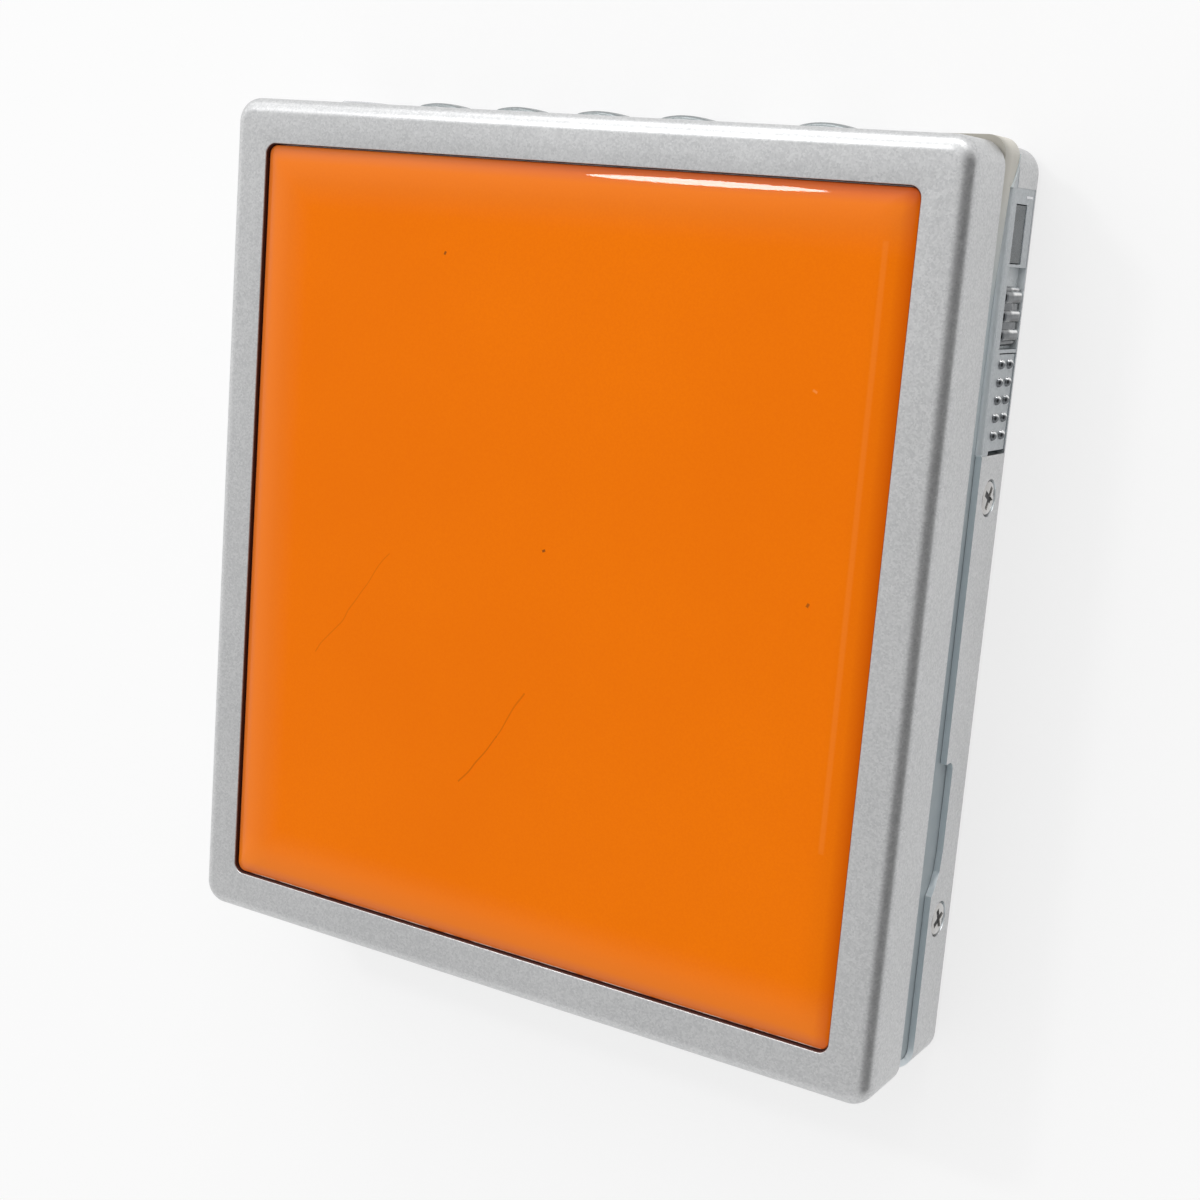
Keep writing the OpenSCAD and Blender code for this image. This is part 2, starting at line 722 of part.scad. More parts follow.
// Side view of the finger notch, along Y and up Z
function notch_pts() =
  let (y1 = 27.7 - half_h, y0 = 16.1 - half_h, low = 4.3, r = 0.9, high = shell_key_end + 1)
  concat([[y1, high]], [[y1, low + r]], arc_pts(y1 - r, low + r, r, 0, -90, 6),
    [[y0 + 3.6, low], [y0 + 1.9, low + 0.25], [y0 + 0.7, low + 0.85], [y0, shell_far_end + 0.1], [y0, high]]);

module side_screws() {
  color("gainsboro")
    for (y = side_screw_y)
      translate([shell_x, y, side_screw_z])
        rotate([0, 90, 0])
          rotate([0, 0, 25])
            small_screw(case_head_r, case_head_t, case_shank_r, 2.3);
}

module rear_screws() {
  color("gainsboro")
    for (p = rear_screw_at)
      translate([p[0], p[1], 0.02])
        rotate([180, 0, 0])
          small_screw(case_head_r, case_head_t - 0.02, case_shank_r, 2.6);
}

module hinge_pin() {
  reach = frame_in_y + frame_wall / 2 - 0.05;
  color("dimgray")
    rod_y([hinge_x, -reach, hinge_z], pin_r, 2 * reach);
}

// Torsion spring that lifts the lid, wound round the hinge pin
module lid_spring() {
  wire = 0.18;
  color("darkgray")
    translate([hinge_x, barrel_y1 + 0.15, hinge_z])
      rotate([-90, 0, 0])
        coil(pin_r + wire + 0.08, wire, 6, 4.4);
}

// Right-hand controls

module control_panel() {
  t = panel_face - panel_in;
  lug_x = lever_pin_x - 0.8;
  lug_z = floor_top + fit;
  slot_y = hold_y0 + 1.35;
  color("silver")
    difference() {
      union() {
        difference() {
          translate([0, ctl_y1, 0])
            rotate([90, 0, 0])
              linear_extrude(ctl_y1 - ctl_y0)
                polygon(concat([[panel_in, ctl_z1], [panel_in, ctl_z0], [panel_face, ctl_z0]],
                  arc_pts(panel_face - ctl_round, ctl_z1 - ctl_round, ctl_round, 0, 90, 8)));
          // Opening for the lever
          span([panel_in - cut, ctl_y0 - cut, ctl_z0 - cut],
            [panel_face + cut, lever_y1 + lever_gap, lever_z1 + lever_gap]);
        }
        // Lugs for the lever pin
        span([lug_x, lever_pin_y - 0.8, lever_z1 + lever_gap + 0.05],
          [panel_in + t / 2, lever_pin_y + 0.8, lever_z1 + 0.8]);
        span([lug_x, lever_pin_y - 0.8, lug_z], [panel_in - 0.15, lever_y1 + lever_gap + 0.6, ctl_z0 + 0.4]);
        span([lug_x, lever_y1 + lever_gap, lug_z], [hold_floor - 0.1, lever_y1 + lever_gap + 0.6, ctl_z0 + 0.4]);
      }
      rod_z([lever_pin_x, lever_pin_y, ctl_z0 - cut], lever_pin_r + fit, ctl_z1);
      // Recess of the hold knob, open to the rear, with a slot for its stem
      span([hold_floor, hold_y0, ctl_z0 - cut],
        [panel_face + cut, hold_y0 + hold_len + hold_travel + 0.45, hold_z1 + 0.15]);
      span([panel_in - cut, slot_y, 2.85], [panel_face, slot_y + 2 + hold_travel + 0.6, 4.15]);
      // Indicator window
      span([panel_in - cut, window_y - window_len / 2, window_z - window_h / 2],
        [panel_face + cut, window_y + window_len / 2, window_z + window_h / 2]);
    }
}

module side_window() {
  play = 0.06;
  flange = 0.45;
  color("gray") {
    span([panel_in - 0.3, window_y - window_len / 2 + play, window_z - window_h / 2 + play],
      [panel_face - 0.06, window_y + window_len / 2 - play, window_z + window_h / 2 - play]);
    span([panel_in - 0.5, window_y - window_len / 2 - flange, window_z - window_h / 2 - flange],
      [panel_in, window_y + window_len / 2 + flange, window_z + window_h / 2 + flange]);
  }
}

module open_lever() {
  arm_x0 = panel_in - 1.45;
  arm_x1 = panel_in - 0.65;
  nose_x = lid_in_x - 0.72;
  nose_z = catch_z + 0.55;
  color("silver")
    difference() {
      union() {
        span([panel_in, lever_y0, lever_z0], [lever_face, lever_y1, lever_z1]);
        for (i = [0 : dot_rows - 1])
          for (j = [0, 1])
            translate([lever_face - dot_sink, dot_y + i * dot_pitch_y, dot_z + j * dot_pitch_z])
              sphere(r = dot_r);
        // Ear on the pin
        rod_z([lever_pin_x, lever_pin_y, 1.55], 0.85, 3.1);
        span([lever_pin_x, lever_pin_y - 0.5, 1.55], [panel_in + 0.2, lever_pin_y + 0.5, 4.65]);
        // Arm up to the lid catch
        span([arm_x0, catch_y - 0.9, 3], [panel_in + 0.2, catch_y + 0.9, lever_z1 - 0.1]);
        span([arm_x0, catch_y - 0.9, 3], [arm_x1, catch_y + 0.9, nose_z + 0.7]);
        span([arm_x0, catch_y - 0.9, nose_z], [nose_x, catch_y + 0.9, nose_z + 0.7]);
      }
      rod_z([lever_pin_x, lever_pin_y, lever_z0 - cut], lever_pin_r + run_clear, lever_z1 + cut);
    }
}

module open_lever_pin() {
  color("dimgray")
    rod_z([lever_pin_x, lever_pin_y, floor_top + fit], lever_pin_r, lever_z1 + 0.75 - floor_top);
}

// Return spring of the lever, seated on the battery bay wall
module open_lever_spring() {
  seat = cell_x1 + bay_gap + bay_wall;
  color("darkgray")
    translate([seat, lever_y0 + 4.3, 2.9])
      rotate([0, 90, 0])
        coil(0.75, 0.15, 5, panel_in - 0.4 - seat);
}

module hold_knob() {
  base = hold_floor + 0.06;
  top = half_w - 0.06;
  y0 = hold_y0 + 0.25;
  ridge = 0.75;
  stem_y = hold_y0 + 1.5;
  color("dimgray") {
    span([base, y0, hold_z0], [base + 0.3, y0 + hold_len, hold_z1]);
    for (i = [0 : 2])
      span([base, y0 + 0.5 + i * 1.5, hold_z0], [top, y0 + 0.5 + i * 1.5 + ridge, hold_z1]);
    span([panel_in - 0.9, stem_y, 3], [base + 0.1, stem_y + 1.7, 4]);
    span([panel_in - 0.9, stem_y - 0.4, 2.5], [panel_in - 0.15, stem_y + 2.1, 4.5]);
  }
}

module hold_switch() {
  y0 = hold_y0 + 0.85;
  color("black")
    span([panel_in - 2.9, y0, board_top], [panel_in - 0.95, y0 + 4.4, board_top + 2.2]);
}

// Key edge

// Oval key with a domed face and a flange behind the frame wall
module key_at(x) {
  tip = half_h + key_rise;
  back = frame_in_y - 0.15;
  color("silver") {
    intersection() {
      bar_y(x, back - 0.4, key_z, key_w, key_h, tip);
      rod_z([x, tip - dome_r, 0], dome_r, body_t);
    }
    bar_y(x, back - key_flange, key_z, key_w + 0.9, key_h + 0.7, key_flange);
  }
}

module volume_down_key() {
  key_at(key_x[0]);
}

module volume_up_key() {
  key_at(key_x[1]);
}

module previous_key() {
  key_at(key_x[2]);
}

module next_key() {
  key_at(key_x[3]);
}

module play_key() {
  key_at(key_x[4]);
}

module key_switches() {
  back = frame_in_y - 0.15 - key_flange;
  tip = back - key_travel - 0.05;
  color("black")
    for (x = key_x) {
      span([x - 2.4, tip - 3, board_top], [x + 2.4, tip - 0.3, key_z + 1.5]);
      rod_y([x, tip - 0.6, key_z], 0.8, 0.6);
    }
}

module headphone_jack() {
  mouth = shell_y + collar_rise;
  color("dimgray")
    difference() {
      union() {
        rod_y([jack_x, mouth - jack_depth - 1, jack_z], jack_r + jack_wall, jack_depth + 1);
        rod_y([jack_x, shell_y, jack_z], collar_r, collar_rise);
        span([jack_x - 1.5, mouth - jack_depth - 1, floor_top],
          [jack_x + 1.5, mouth - jack_depth + 2, jack_z]);
      }
      rod_y([jack_x, mouth - jack_depth, jack_z], jack_r, jack_depth + cut);
    }
}

// Board and its parts

module main_board() {
  strip_y = cell_y1 + 1.7;
  edge_y = frame_in_y - 1.3;
  jack_end = shell_y + collar_rise - jack_depth - 1;
  tail_x = frame_in_x - 0.6;
  color("darkgreen")
    difference() {
      translate([0, 0, board_z])
        linear_extrude(board_t)
          union() {
            translate([spindle_x - lx(31.6), -edge_y])
              square([lx(16.8), edge_y + jack_end - 1.48]);
            translate([spindle_x - lx(26.8), ly(11)])
              square([lx(39), edge_y - ly(11)]);
            translate([spindle_x + lx(12), strip_y])
              square([tail_x - spindle_x - lx(12), edge_y - strip_y]);
            translate([cell_x1 + bay_gap + bay_wall + 0.3, hold_y0 + 0.6])
              square([tail_x - cell_x1 - bay_gap - bay_wall - 0.3, edge_y - hold_y0 - 0.6]);
          }
      for (p = damper_at)
        rod_z([p[0], p[1], board_z - cut], 1.9, board_t + 2 * cut);
    }
}

module signal_processor() {
  color("black")
    span([spindle_x - lx(29), ly(-15), board_top], [spindle_x - lx(18), ly(-4), board_top + 1.2]);
}

module small_ics() {
  color("black")
    for (p = [[-27, 2], [-27, 9], [-22, -26], [-12, 15], [-2, 16]])
      translate([spindle_x + lx(p[0]), ly(p[1]), board_top])
        cube([lx(6), ly(5), 1]);
}

module capacitors() {
  color("goldenrod")
    for (p = [[-18, 4], [-18, 8], [-25, -30], [-18, -30], [4, 20], [8, 20]])
      translate([spindle_x + lx(p[0]), ly(p[1]), board_top])
        cube([lx(1.8), ly(3.2), 1.6]);
}

// Mechanism

module mechanism_deck() {
  slot_w = 12;
  slot_y = [lens_y - sled_travel - 5, rear_tab_y + 0.2];
  tab_z = shaft_z - 1.6;
  color("lightgray")
    difference() {
      union() {
        span([deck_x0, -deck_y, deck_z], [deck_x1, deck_y, deck_top]);
        // Turned-down tabs that carry the shafts and the screw
        span([lead_x - 1.8, front_tab_y, tab_z], [sub_x + 1.4, front_tab_y + tab_t, deck_top]);
        span([lead_x - 1.8, rear_tab_y, tab_z], [main_x + 1.6, rear_tab_y + tab_t, deck_top]);
        span([sub_x - 1.4, rear_tab_y, tab_z], [sub_x + 1.4, rear_tab_y + tab_t, deck_top]);
        // Rests and pins for the cartridge
        for (p = [[-24, 27], [-24, -26], [-20, 3]])
          rod_z([spindle_x + lx(p[0]), ly(p[1]), deck_z], 1.1, bay_low - deck_z + 0.05);
        for (s = [-1, 1])
          rod_z([spindle_x - lx(15), s * ly(28), deck_z], 0.9, bay_low - deck_z + 0.5);
      }
      rod_z([spindle_x, 0, deck_z - cut], turntable_r + 0.8, deck_t + 2 * cut);
      span([spindle_x - slot_w / 2, slot_y[0], deck_z - cut], [spindle_x + slot_w / 2, slot_y[1], deck_top + cut]);
      for (p = damper_at)
        rod_z([p[0], p[1], deck_z - cut], 1.2, deck_t + 2 * cut);
      rod_y([main_x, front_tab_y - cut, shaft_z], shaft_r + fit, 2 * deck_y);
      rod_y([sub_x, front_tab_y - cut, shaft_z], sub_r + fit, 2 * deck_y);
      rod_y([lead_x, rear_tab_y - cut, shaft_z], screw_r + 0.12, 2);
      rod_y([lead_x, front_tab_y - cut, shaft_z], 1 + fit, 2);
      // Openings that lighten the plate
      translate([spindle_x - lx(22), ly(-12), deck_z - cut])
        cylinder(r = 4, h = deck_t + 2 * cut);
      translate([spindle_x, ly(22), deck_z - cut])
        linear_extrude(deck_t + 2 * cut)
          polygon(rr_pts(16, 10, 2));
    }
}

module deck_dampers() {
  hole = deck_screw_r + fit;
  color("black")
    for (p = damper_at)
      translate([p[0], p[1], post_top])
        rotate_extrude()
          polygon([[hole, 0], [damper_r, 0], [damper_r, damper_low], [1.17, damper_low],
            [1.17, damper_low + deck_t], [damper_r, damper_low + deck_t],
            [damper_r, damper_low + deck_t + damper_high], [hole, damper_low + deck_t + damper_high]]);
}

module deck_screws() {
  head_t = 0.4;
  color("gainsboro")
    for (p = damper_at)
      translate([p[0], p[1], deck_top + damper_high + head_t])
        small_screw(1.5, head_t, deck_screw_r, deck_top + damper_high - floor_top - 1.2);
}

module spindle_motor() {
  flange = 0.4;
  color("silver")
    difference() {
      union() {
        rod_z([spindle_x, 0, deck_z - 3.9], motor_r, 3.6);
        rod_z([spindle_x, 0, deck_z - flange], motor_r + 0.8, flange);
        rod_z([spindle_x, 0, deck_z - flange], 2, deck_t + flange - 0.1);
      }
      rod_z([spindle_x, 0, deck_z - 3.4], 0.75 + run_clear, 6);
    }
}

module turntable() {
  disc_z = deck_top + 0.15;
  color("whitesmoke") {
    rod_z([spindle_x, 0, deck_z - 3.3], 0.75, disc_z - deck_z + 3.6);
    rod_z([spindle_x, 0, disc_z], turntable_r, 0.65);
    rod_z([spindle_x, 0, disc_z], 3.2, 1.1);
    translate([spindle_x, 0, disc_z + 1.1])
      cylinder(r1 = 2, r2 = 1.3, h = 0.35);
  }
}

module clamp_magnet() {
  disc_z = deck_top + 0.15;
  color("dimgray")
    difference() {
      rod_z([spindle_x, 0, disc_z + 0.65], 5, 0.35);
      rod_z([spindle_x, 0, disc_z], 3.2 + fit, 2);
    }
}

module pickup_sled() {
  nut_r = screw_r + run_clear;
  color("dimgray")
    difference() {
      union() {
        span([main_x - 1.7, sled_y0, sled_z], [sub_x - 1.6, sled_y1, sled_top]);
        // Fork on the sub shaft
        span([sub_x - 1.7, lens_y - 1.5, shaft_z - 1.5], [sub_x + 1.3, lens_y + 1.5, shaft_z + 1.5]);
        // Nut arm on the lead screw
        span([lead_x - 1.3, lens_y - 1.5, shaft_z - 1.3], [main_x - 1.5, lens_y + 1.5, shaft_z + 1.3]);
      }
      rod_y([main_x, sled_y0 - cut, shaft_z], shaft_r + run_clear, sled_y1 - sled_y0 + 2 * cut);
      span([sub_x - sub_r - run_clear, lens_y - 2, shaft_z - sub_r - run_clear],
        [sub_x + 2, lens_y + 2, shaft_z + sub_r + run_clear]);
      rod_y([lead_x, lens_y - 2, shaft_z], nut_r, 4);
    }
}

module objective_lens() {
  rise = 1.05;
  color("lightblue") {
    span([spindle_x - 4, lens_y - 3.6, sled_top], [spindle_x + 4, lens_y + 3.6, sled_top + 0.35]);
    rod_z([spindle_x, lens_y, sled_top], 2.1, rise);
    intersection() {
      translate([spindle_x, lens_y, sled_top + rise - 2])
        sphere(r = 2.4);
      rod_z([spindle_x, lens_y, sled_top], 1.6, 4);
    }
  }
}

module main_guide_shaft() {
  color("gainsboro")
    rod_y([main_x, front_tab_y, shaft_z], shaft_r, rear_tab_y + tab_t - front_tab_y);
}

module sub_guide_shaft() {
  color("gainsboro")
    rod_y([sub_x, front_tab_y, shaft_z], sub_r, rear_tab_y + tab_t - front_tab_y);
}

module sled_motor() {
  can_r = rotor_r + 0.35;
  color("silver")
    difference() {
      rod_y([lead_x, motor_y, shaft_z], can_r, can_len);
      rod_y([lead_x, motor_y - cut, shaft_z], screw_r + run_clear, can_len - 0.5 + cut);
      rod_y([lead_x, motor_y + 0.8, shaft_z], rotor_r + 0.1, can_len - 1.8);
    }
}

// Rotor of the sled motor, which turns with the lead screw
module sled_rotor() {
  color("dimgray")
    difference() {
      rod_y([lead_x, motor_y + 1.1, shaft_z], rotor_r, can_len - 2.4);
      rod_y([lead_x, motor_y, shaft_z], screw_r + fit, can_len);
    }
}

module lead_screw() {
  color("gainsboro")
    rod_y([lead_x, front_tab_y + 0.1, shaft_z], screw_r, motor_y + can_len - 0.7 - front_tab_y);
}

module screw_bearing() {
  color("goldenrod")
    difference() {
      union() {
        rod_y([lead_x, front_tab_y, shaft_z], 1, tab_t);
        rod_y([lead_x, front_tab_y + tab_t, shaft_z], 1.35, 0.5);
      }
      rod_y([lead_x, front_tab_y - cut, shaft_z], screw_r + run_clear, 3);
    }
}

// Battery

module battery_cell() {
  y0 = cell_y1 - cell_len;
  color("slategray") {
    translate([cell_x + cell_w / 2, cell_y1 - 0.4, cell_z + cell_t / 2])
      rotate([90, 0, 0])
        linear_extrude(cell_len - 0.4)
          polygon(rr_pts(cell_w, cell_t, 2.2));
    rod_y([cell_x + cell_w / 2, y0 + 1, cell_z + cell_t / 2], 2, cell_len - 1);
  }
}

module battery_contact() {
  color("gold")
    span([cell_x + cell_w / 2 - 4, cell_y1, cell_z + 1], [cell_x + cell_w / 2 + 4, cell_y1 + 0.85, cell_z + cell_t - 1]);
}

module battery_door() {
  inner = door_t - 0.35;
  color("silver")
    difference() {
      union() {
        span([door_pin_x, -shell_y, door_z0], [door_x1, -shell_y + inner, door_z1]);
        rod_z([door_pin_x, door_pin_y, door_z0], door_knuckle, door_z1 - door_z0);
      }
      rod_z([door_pin_x, door_pin_y, door_z0 - cut], door_pin_r + run_clear, door_z1 + cut);
      // Finger groove along the free end
      rod_z([door_x1 - 1.6, -shell_y - 0.55, door_z0 - cut], 0.8, door_z1 + cut);
    }
}

module door_contact() {
  inner = -shell_y + door_t - 0.35;
  gap = 0.12;
  color("gold")
    span([cell_x + cell_w / 2 - 3.5, inner, cell_z + 1],
      [cell_x + cell_w / 2 + 3.5, cell_y1 - cell_len - gap, cell_z + cell_t - 1]);
}

module battery_door_pin() {
  color("dimgray")
    rod_z([door_pin_x, door_pin_y, shell_floor + 0.02], door_pin_r, door_pin_top - shell_floor - 0.02);
}

// Drawing

lid_frame();
front_panel();
panel_tape();
panel_stiffener();
lid_hinge_arms();
lid_catch();
cartridge_holder();
cartridge_detent_springs();
mid_frame();
rear_shell();
control_panel();
side_window();
side_screws();
rear_screws();
hinge_pin();
lid_spring();
open_lever();
open_lever_pin();
open_lever_spring();
hold_knob();
hold_switch();
headphone_jack();
main_board();
signal_processor();
small_ics();
capacitors();
key_switches();
volume_down_key();
volume_up_key();
previous_key();
next_key();
play_key();
mechanism_deck();
deck_dampers();
deck_screws();
spindle_motor();
turntable();
clamp_magnet();
pickup_sled();
objective_lens();
main_guide_shaft();
sub_guide_shaft();
sled_motor();
sled_rotor();
lead_screw();
screw_bearing();
battery_cell();
battery_contact();
battery_door();
door_contact();
battery_door_pin();
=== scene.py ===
import json
import math

import bmesh
import bpy
from mathutils import Matrix, Vector

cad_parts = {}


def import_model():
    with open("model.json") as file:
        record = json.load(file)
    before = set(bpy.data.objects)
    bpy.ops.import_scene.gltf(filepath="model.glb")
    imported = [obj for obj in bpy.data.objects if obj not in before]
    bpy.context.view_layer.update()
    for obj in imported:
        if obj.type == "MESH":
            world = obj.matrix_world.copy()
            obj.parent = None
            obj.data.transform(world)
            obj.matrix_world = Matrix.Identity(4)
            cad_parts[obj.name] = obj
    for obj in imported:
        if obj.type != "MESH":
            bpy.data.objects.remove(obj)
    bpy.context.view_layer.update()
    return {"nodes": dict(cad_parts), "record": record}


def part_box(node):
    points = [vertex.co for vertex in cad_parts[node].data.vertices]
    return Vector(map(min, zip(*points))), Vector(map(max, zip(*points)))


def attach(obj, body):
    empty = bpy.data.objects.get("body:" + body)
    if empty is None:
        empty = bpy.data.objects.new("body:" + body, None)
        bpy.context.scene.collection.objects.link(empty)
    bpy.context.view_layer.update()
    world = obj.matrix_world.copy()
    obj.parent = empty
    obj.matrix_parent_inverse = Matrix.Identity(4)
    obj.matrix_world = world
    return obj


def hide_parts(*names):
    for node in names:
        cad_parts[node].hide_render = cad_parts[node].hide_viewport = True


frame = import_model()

MM = 0.001
# Vertices nearer to each other than this, in metres, are one
WELD = 1e-7
NODES = frame["nodes"]
SCENE = bpy.context.scene
SCENE.view_settings.view_transform = "Standard"


# Shader graphs

def add_node(tree, kind, links=None, **props):
    """A shader node with its properties set and its inputs linked to sockets or set to values."""
    made = tree.nodes.new("ShaderNode" + kind)
    for key, value in props.items():
        setattr(made, key, value)
    for key, value in (links or {}).items():
        if isinstance(value, bpy.types.NodeSocket):
            tree.links.new(value, made.inputs[key])
        else:
            made.inputs[key].default_value = value
    return made


class Graph:
    """A node material with a Principled shader and short ways to add nodes."""

    def __init__(self, name, **sockets):
        self.mat = bpy.data.materials.new(name)
        self.mat.use_nodes = True
        self.tree = self.mat.node_tree
        self.bsdf = self.tree.nodes["Principled BSDF"]
        self.coord = self.tree.nodes.new("ShaderNodeTexCoord").outputs["Object"]
        for key, value in sockets.items():
            self.bsdf.inputs[key.replace("_", " ")].default_value = value

    def node(self, kind, links=None, **props):
        return add_node(self.tree, kind, links, **props)

    def to(self, output, socket):
        """Links an output to an input of the Principled shader."""
        self.tree.links.new(output, self.bsdf.inputs[socket])

    def stretch(self, x, y, z):
        """Object coordinates with each axis multiplied."""
        return self.node("Mapping", {"Vector": self.coord, "Scale": (x, y, z)}).outputs[0]

    def noise(self, scale, detail=2.0, rough=0.5, vector=None):
        links = {"Vector": vector or self.coord, "Scale": scale, "Detail": detail, "Roughness": rough}
        return self.node("TexNoise", links).outputs["Fac"]

    def cells(self, scale, vector=None):
        """A random value for each cell, as in flakes or grains."""
        made = self.node("TexVoronoi", {"Vector": vector or self.coord, "Scale": scale})
        return self.node("SeparateColor", {"Color": made.outputs["Color"]}).outputs[0]

    def remap(self, value, a, b, low, high):
        links = {"Value": value, "From Min": a, "From Max": b, "To Min": low, "To Max": high}
        return self.node("MapRange", links, clamp=True).outputs[0]

    def math(self, op, a, b=0.0, c=0.0):
        return self.node("Math", {0: a, 1: b, 2: c}, operation=op).outputs[0]

    def blend(self, fac, a, b):
        """Colour a where fac is 0 and b where it is 1."""
        a, b = (c if isinstance(c, bpy.types.NodeSocket) else (*c, 1.0) for c in (a, b))
        return self.node("Mix", {"Factor": fac, 6: a, 7: b}, data_type="RGBA").outputs[2]

    def axes(self):
        """X, Y and Z of the place on the object."""
        return self.node("SeparateXYZ", {"Vector": self.coord}).outputs

    def facing(self, toward):
        """How far the surface faces a direction of the object, from its normal."""
        normal = self.node("TexCoord").outputs["Normal"]
        return self.node("VectorMath", {0: normal, 1: toward}, operation="DOT_PRODUCT").outputs["Value"]

    def bump(self, *layers):
        """Stacks layers of (height, strength, distance in metres) into the normal."""
        normal = None
        for height, strength, distance in layers:
            links = {"Height": height, "Strength": strength, "Distance": distance}
            if normal is not None:
                links["Normal"] = normal
            normal = self.node("Bump", links).outputs[0]
        self.to(normal, "Normal")


# Pale bluish colour of painted light on low up-facing edges
LEDGE_PAINTED_LIGHT = (0.80, 0.86, 0.89)


def shades(colour, spread):
    """A darker and a lighter shade of a colour."""
    return tuple(c * (1 - spread) for c in colour), tuple(min(1.0, c * (1 + spread)) for c in colour)


def paint(name, dark, light, metal, rough, edge_z=0.0):
    """Metallic paint: flakes in the colour, fine grain and soft clouding.

    Where edge_z is given, edges that face up and lie lower than that height get painted light, pale and
    bluish.
    """
    g = Graph(name, Metallic=metal)
    flake = g.cells(6500)
    cloud = g.noise(90, 3)
    tone = g.math("ADD", g.math("MULTIPLY", flake, 0.6), g.math("MULTIPLY", cloud, 0.4))
    colour = g.blend(g.remap(tone, 0.15, 0.85, 0, 1), dark, light)
    if edge_z:
        lower = g.remap(g.axes()[2], edge_z * MM, (edge_z + 0.3) * MM, 1, 0)
        # Painted light on up-facing edges low on the case, which lie in shade under the lid
        lit_ledge = g.math("MULTIPLY", g.remap(g.facing((0, 0, 1)), 0.4, 0.8, 0, 1), lower)
        colour = g.blend(lit_ledge, colour, LEDGE_PAINTED_LIGHT)
    g.to(colour, "Base Color")
    g.to(g.remap(g.noise(2500, 3), 0.3, 0.7, rough - 0.05, rough + 0.06), "Roughness")
    g.bump((flake, 0.10, 1.2e-5), (g.noise(4200, 3), 0.14, 1.5e-5))
    return g.mat


def moulded(name, colour, rough, spread=0.12, grain=3000, depth=0.15, **sockets):
    """Moulded plastic or rubber: clouded colour, satin grain and uneven gloss."""
    g = Graph(name, **sockets)
    dark, light = shades(colour, spread)
    g.to(g.blend(g.remap(g.noise(260, 4), 0.3, 0.7, 0, 1), dark, light), "Base Color")
    g.to(g.remap(g.noise(900, 3), 0.3, 0.7, rough - 0.06, rough + 0.08), "Roughness")
    g.bump((g.noise(grain, 3), depth, 1.5e-5))
    return g.mat


def metal(name, colour, rough, brush=(1, 1, 1), spread=0.10, depth=0.12):
    """Bare metal: lines along one axis, clouding and fine pits."""
    g = Graph(name, Metallic=1.0)
    lines = g.noise(5200, 4, 0.6, g.stretch(*brush))
    dark, light = shades(colour, spread)
    g.to(g.blend(g.remap(g.noise(420, 3), 0.3, 0.7, 0, 1), dark, light), "Base Color")
    g.to(g.remap(lines, 0.3, 0.7, rough - 0.07, rough + 0.09), "Roughness")
    g.bump((lines, depth, 1e-5), (g.noise(5200, 2), depth * 0.5, 6e-6))
    return g.mat


def orange_panel():
    """Clear-coated orange with painted reflections that make its domed edges paler, painted shade that makes
    the control side redder and the top edge darker, and a few marks, some of them painted glints.
    """
    g = Graph("orange_gloss", Roughness=0.32, Coat_Roughness=0.02, Specular_IOR_Level=0.04)
    x, y, _ = g.axes()
    speck = g.remap(g.noise(5200, 2), 0.35, 0.65, 0, 1)
    cloud = g.remap(g.noise(38, 3), 0.3, 0.7, 0, 1)
    base = g.blend(cloud, (0.88, 0.177, 0.0), (0.92, 0.194, 0.0))
    base = g.blend(g.math("MULTIPLY", speck, 0.35), base, (0.86, 0.158, 0.0))

    def line(x0, y0, x1, y1, half, bend):
        """1 on a mark between two points in millimetres, 0 beside it."""
        long = math.hypot(x1 - x0, y1 - y0)
        ux, uy = (x1 - x0) / long, (y1 - y0) / long
        wave = g.math("MULTIPLY", g.math("SUBTRACT", g.noise(130, 2), 0.5), bend * MM)
        dx, dy = g.math("SUBTRACT", x, x0 * MM), g.math("SUBTRACT", y, y0 * MM)
        along = g.math("ADD", g.math("MULTIPLY", dx, ux), g.math("MULTIPLY", dy, uy))
        off = g.math("ADD", g.math("SUBTRACT", g.math("MULTIPLY", dx, uy), g.math("MULTIPLY", dy, ux)), wave)
        beyond = g.math("MAXIMUM", g.math("SUBTRACT", 0.0, along), g.math("SUBTRACT", along, long * MM))
        away = g.math("MAXIMUM", g.math("ABSOLUTE", off), beyond)
        return g.remap(away, half * MM, 2.2 * half * MM, 1, 0)

    for *place, strength, colour in MARKS:
        base = g.blend(g.math("MULTIPLY", line(*place), strength), base, colour)

    # Distance from the sides: right has the controls, top the keys
    right = g.math("SUBTRACT", PANEL_HALF[0] * MM, x)
    top = g.math("SUBTRACT", PANEL_HALF[1] * MM, y)
    top_left = g.math("MINIMUM", g.math("ADD", PANEL_HALF[0] * MM, x), top)
    bottom = g.math("ADD", PANEL_HALF[1] * MM, y)
    # Painted shade along the top edge, darker towards the right
    top_shade = g.blend(g.remap(x, -15 * MM, 5 * MM, 0, 1), (0.80, 0.190, 0.030), (0.72, 0.125, 0.020))
    # Painted reflections and painted shade along the edges: side, reach in millimetres, strength and colour
    edge_light_and_shade = (
        (top_left, 4.5, 0.90, (0.83, 0.192, 0.004)),
        (top_left, 1.3, 0.90, (0.74, 0.172, 0.030)),
        (top, 1.5, 0.95, top_shade),
        (bottom, 4.5, 0.90, (0.93, 0.222, 0.008)),
        (bottom, 1.3, 0.90, (0.80, 0.180, 0.040)),
        (right, 1.4, 0.50, (0.62, 0.065, 0.0)),
    )
    for side, reach, strength, colour in edge_light_and_shade:
        base = g.blend(g.remap(side, 0.1 * MM, reach * MM, strength, 0), base, colour)
    g.to(base, "Base Color")
    pale_side = g.math("MINIMUM", top_left, bottom)
    coat = g.remap(pale_side, 2.6 * MM, 5.5 * MM, COAT_EDGE, COAT_FLAT)
    brink = g.math("MINIMUM", right, pale_side)
    g.to(g.math("MULTIPLY", coat, g.remap(brink, 0.2 * MM, 0.4 * MM, 0, 1)), "Coat Weight")
    g.bump((g.noise(60, 2), 0.02, 2e-5))
    return g.mat


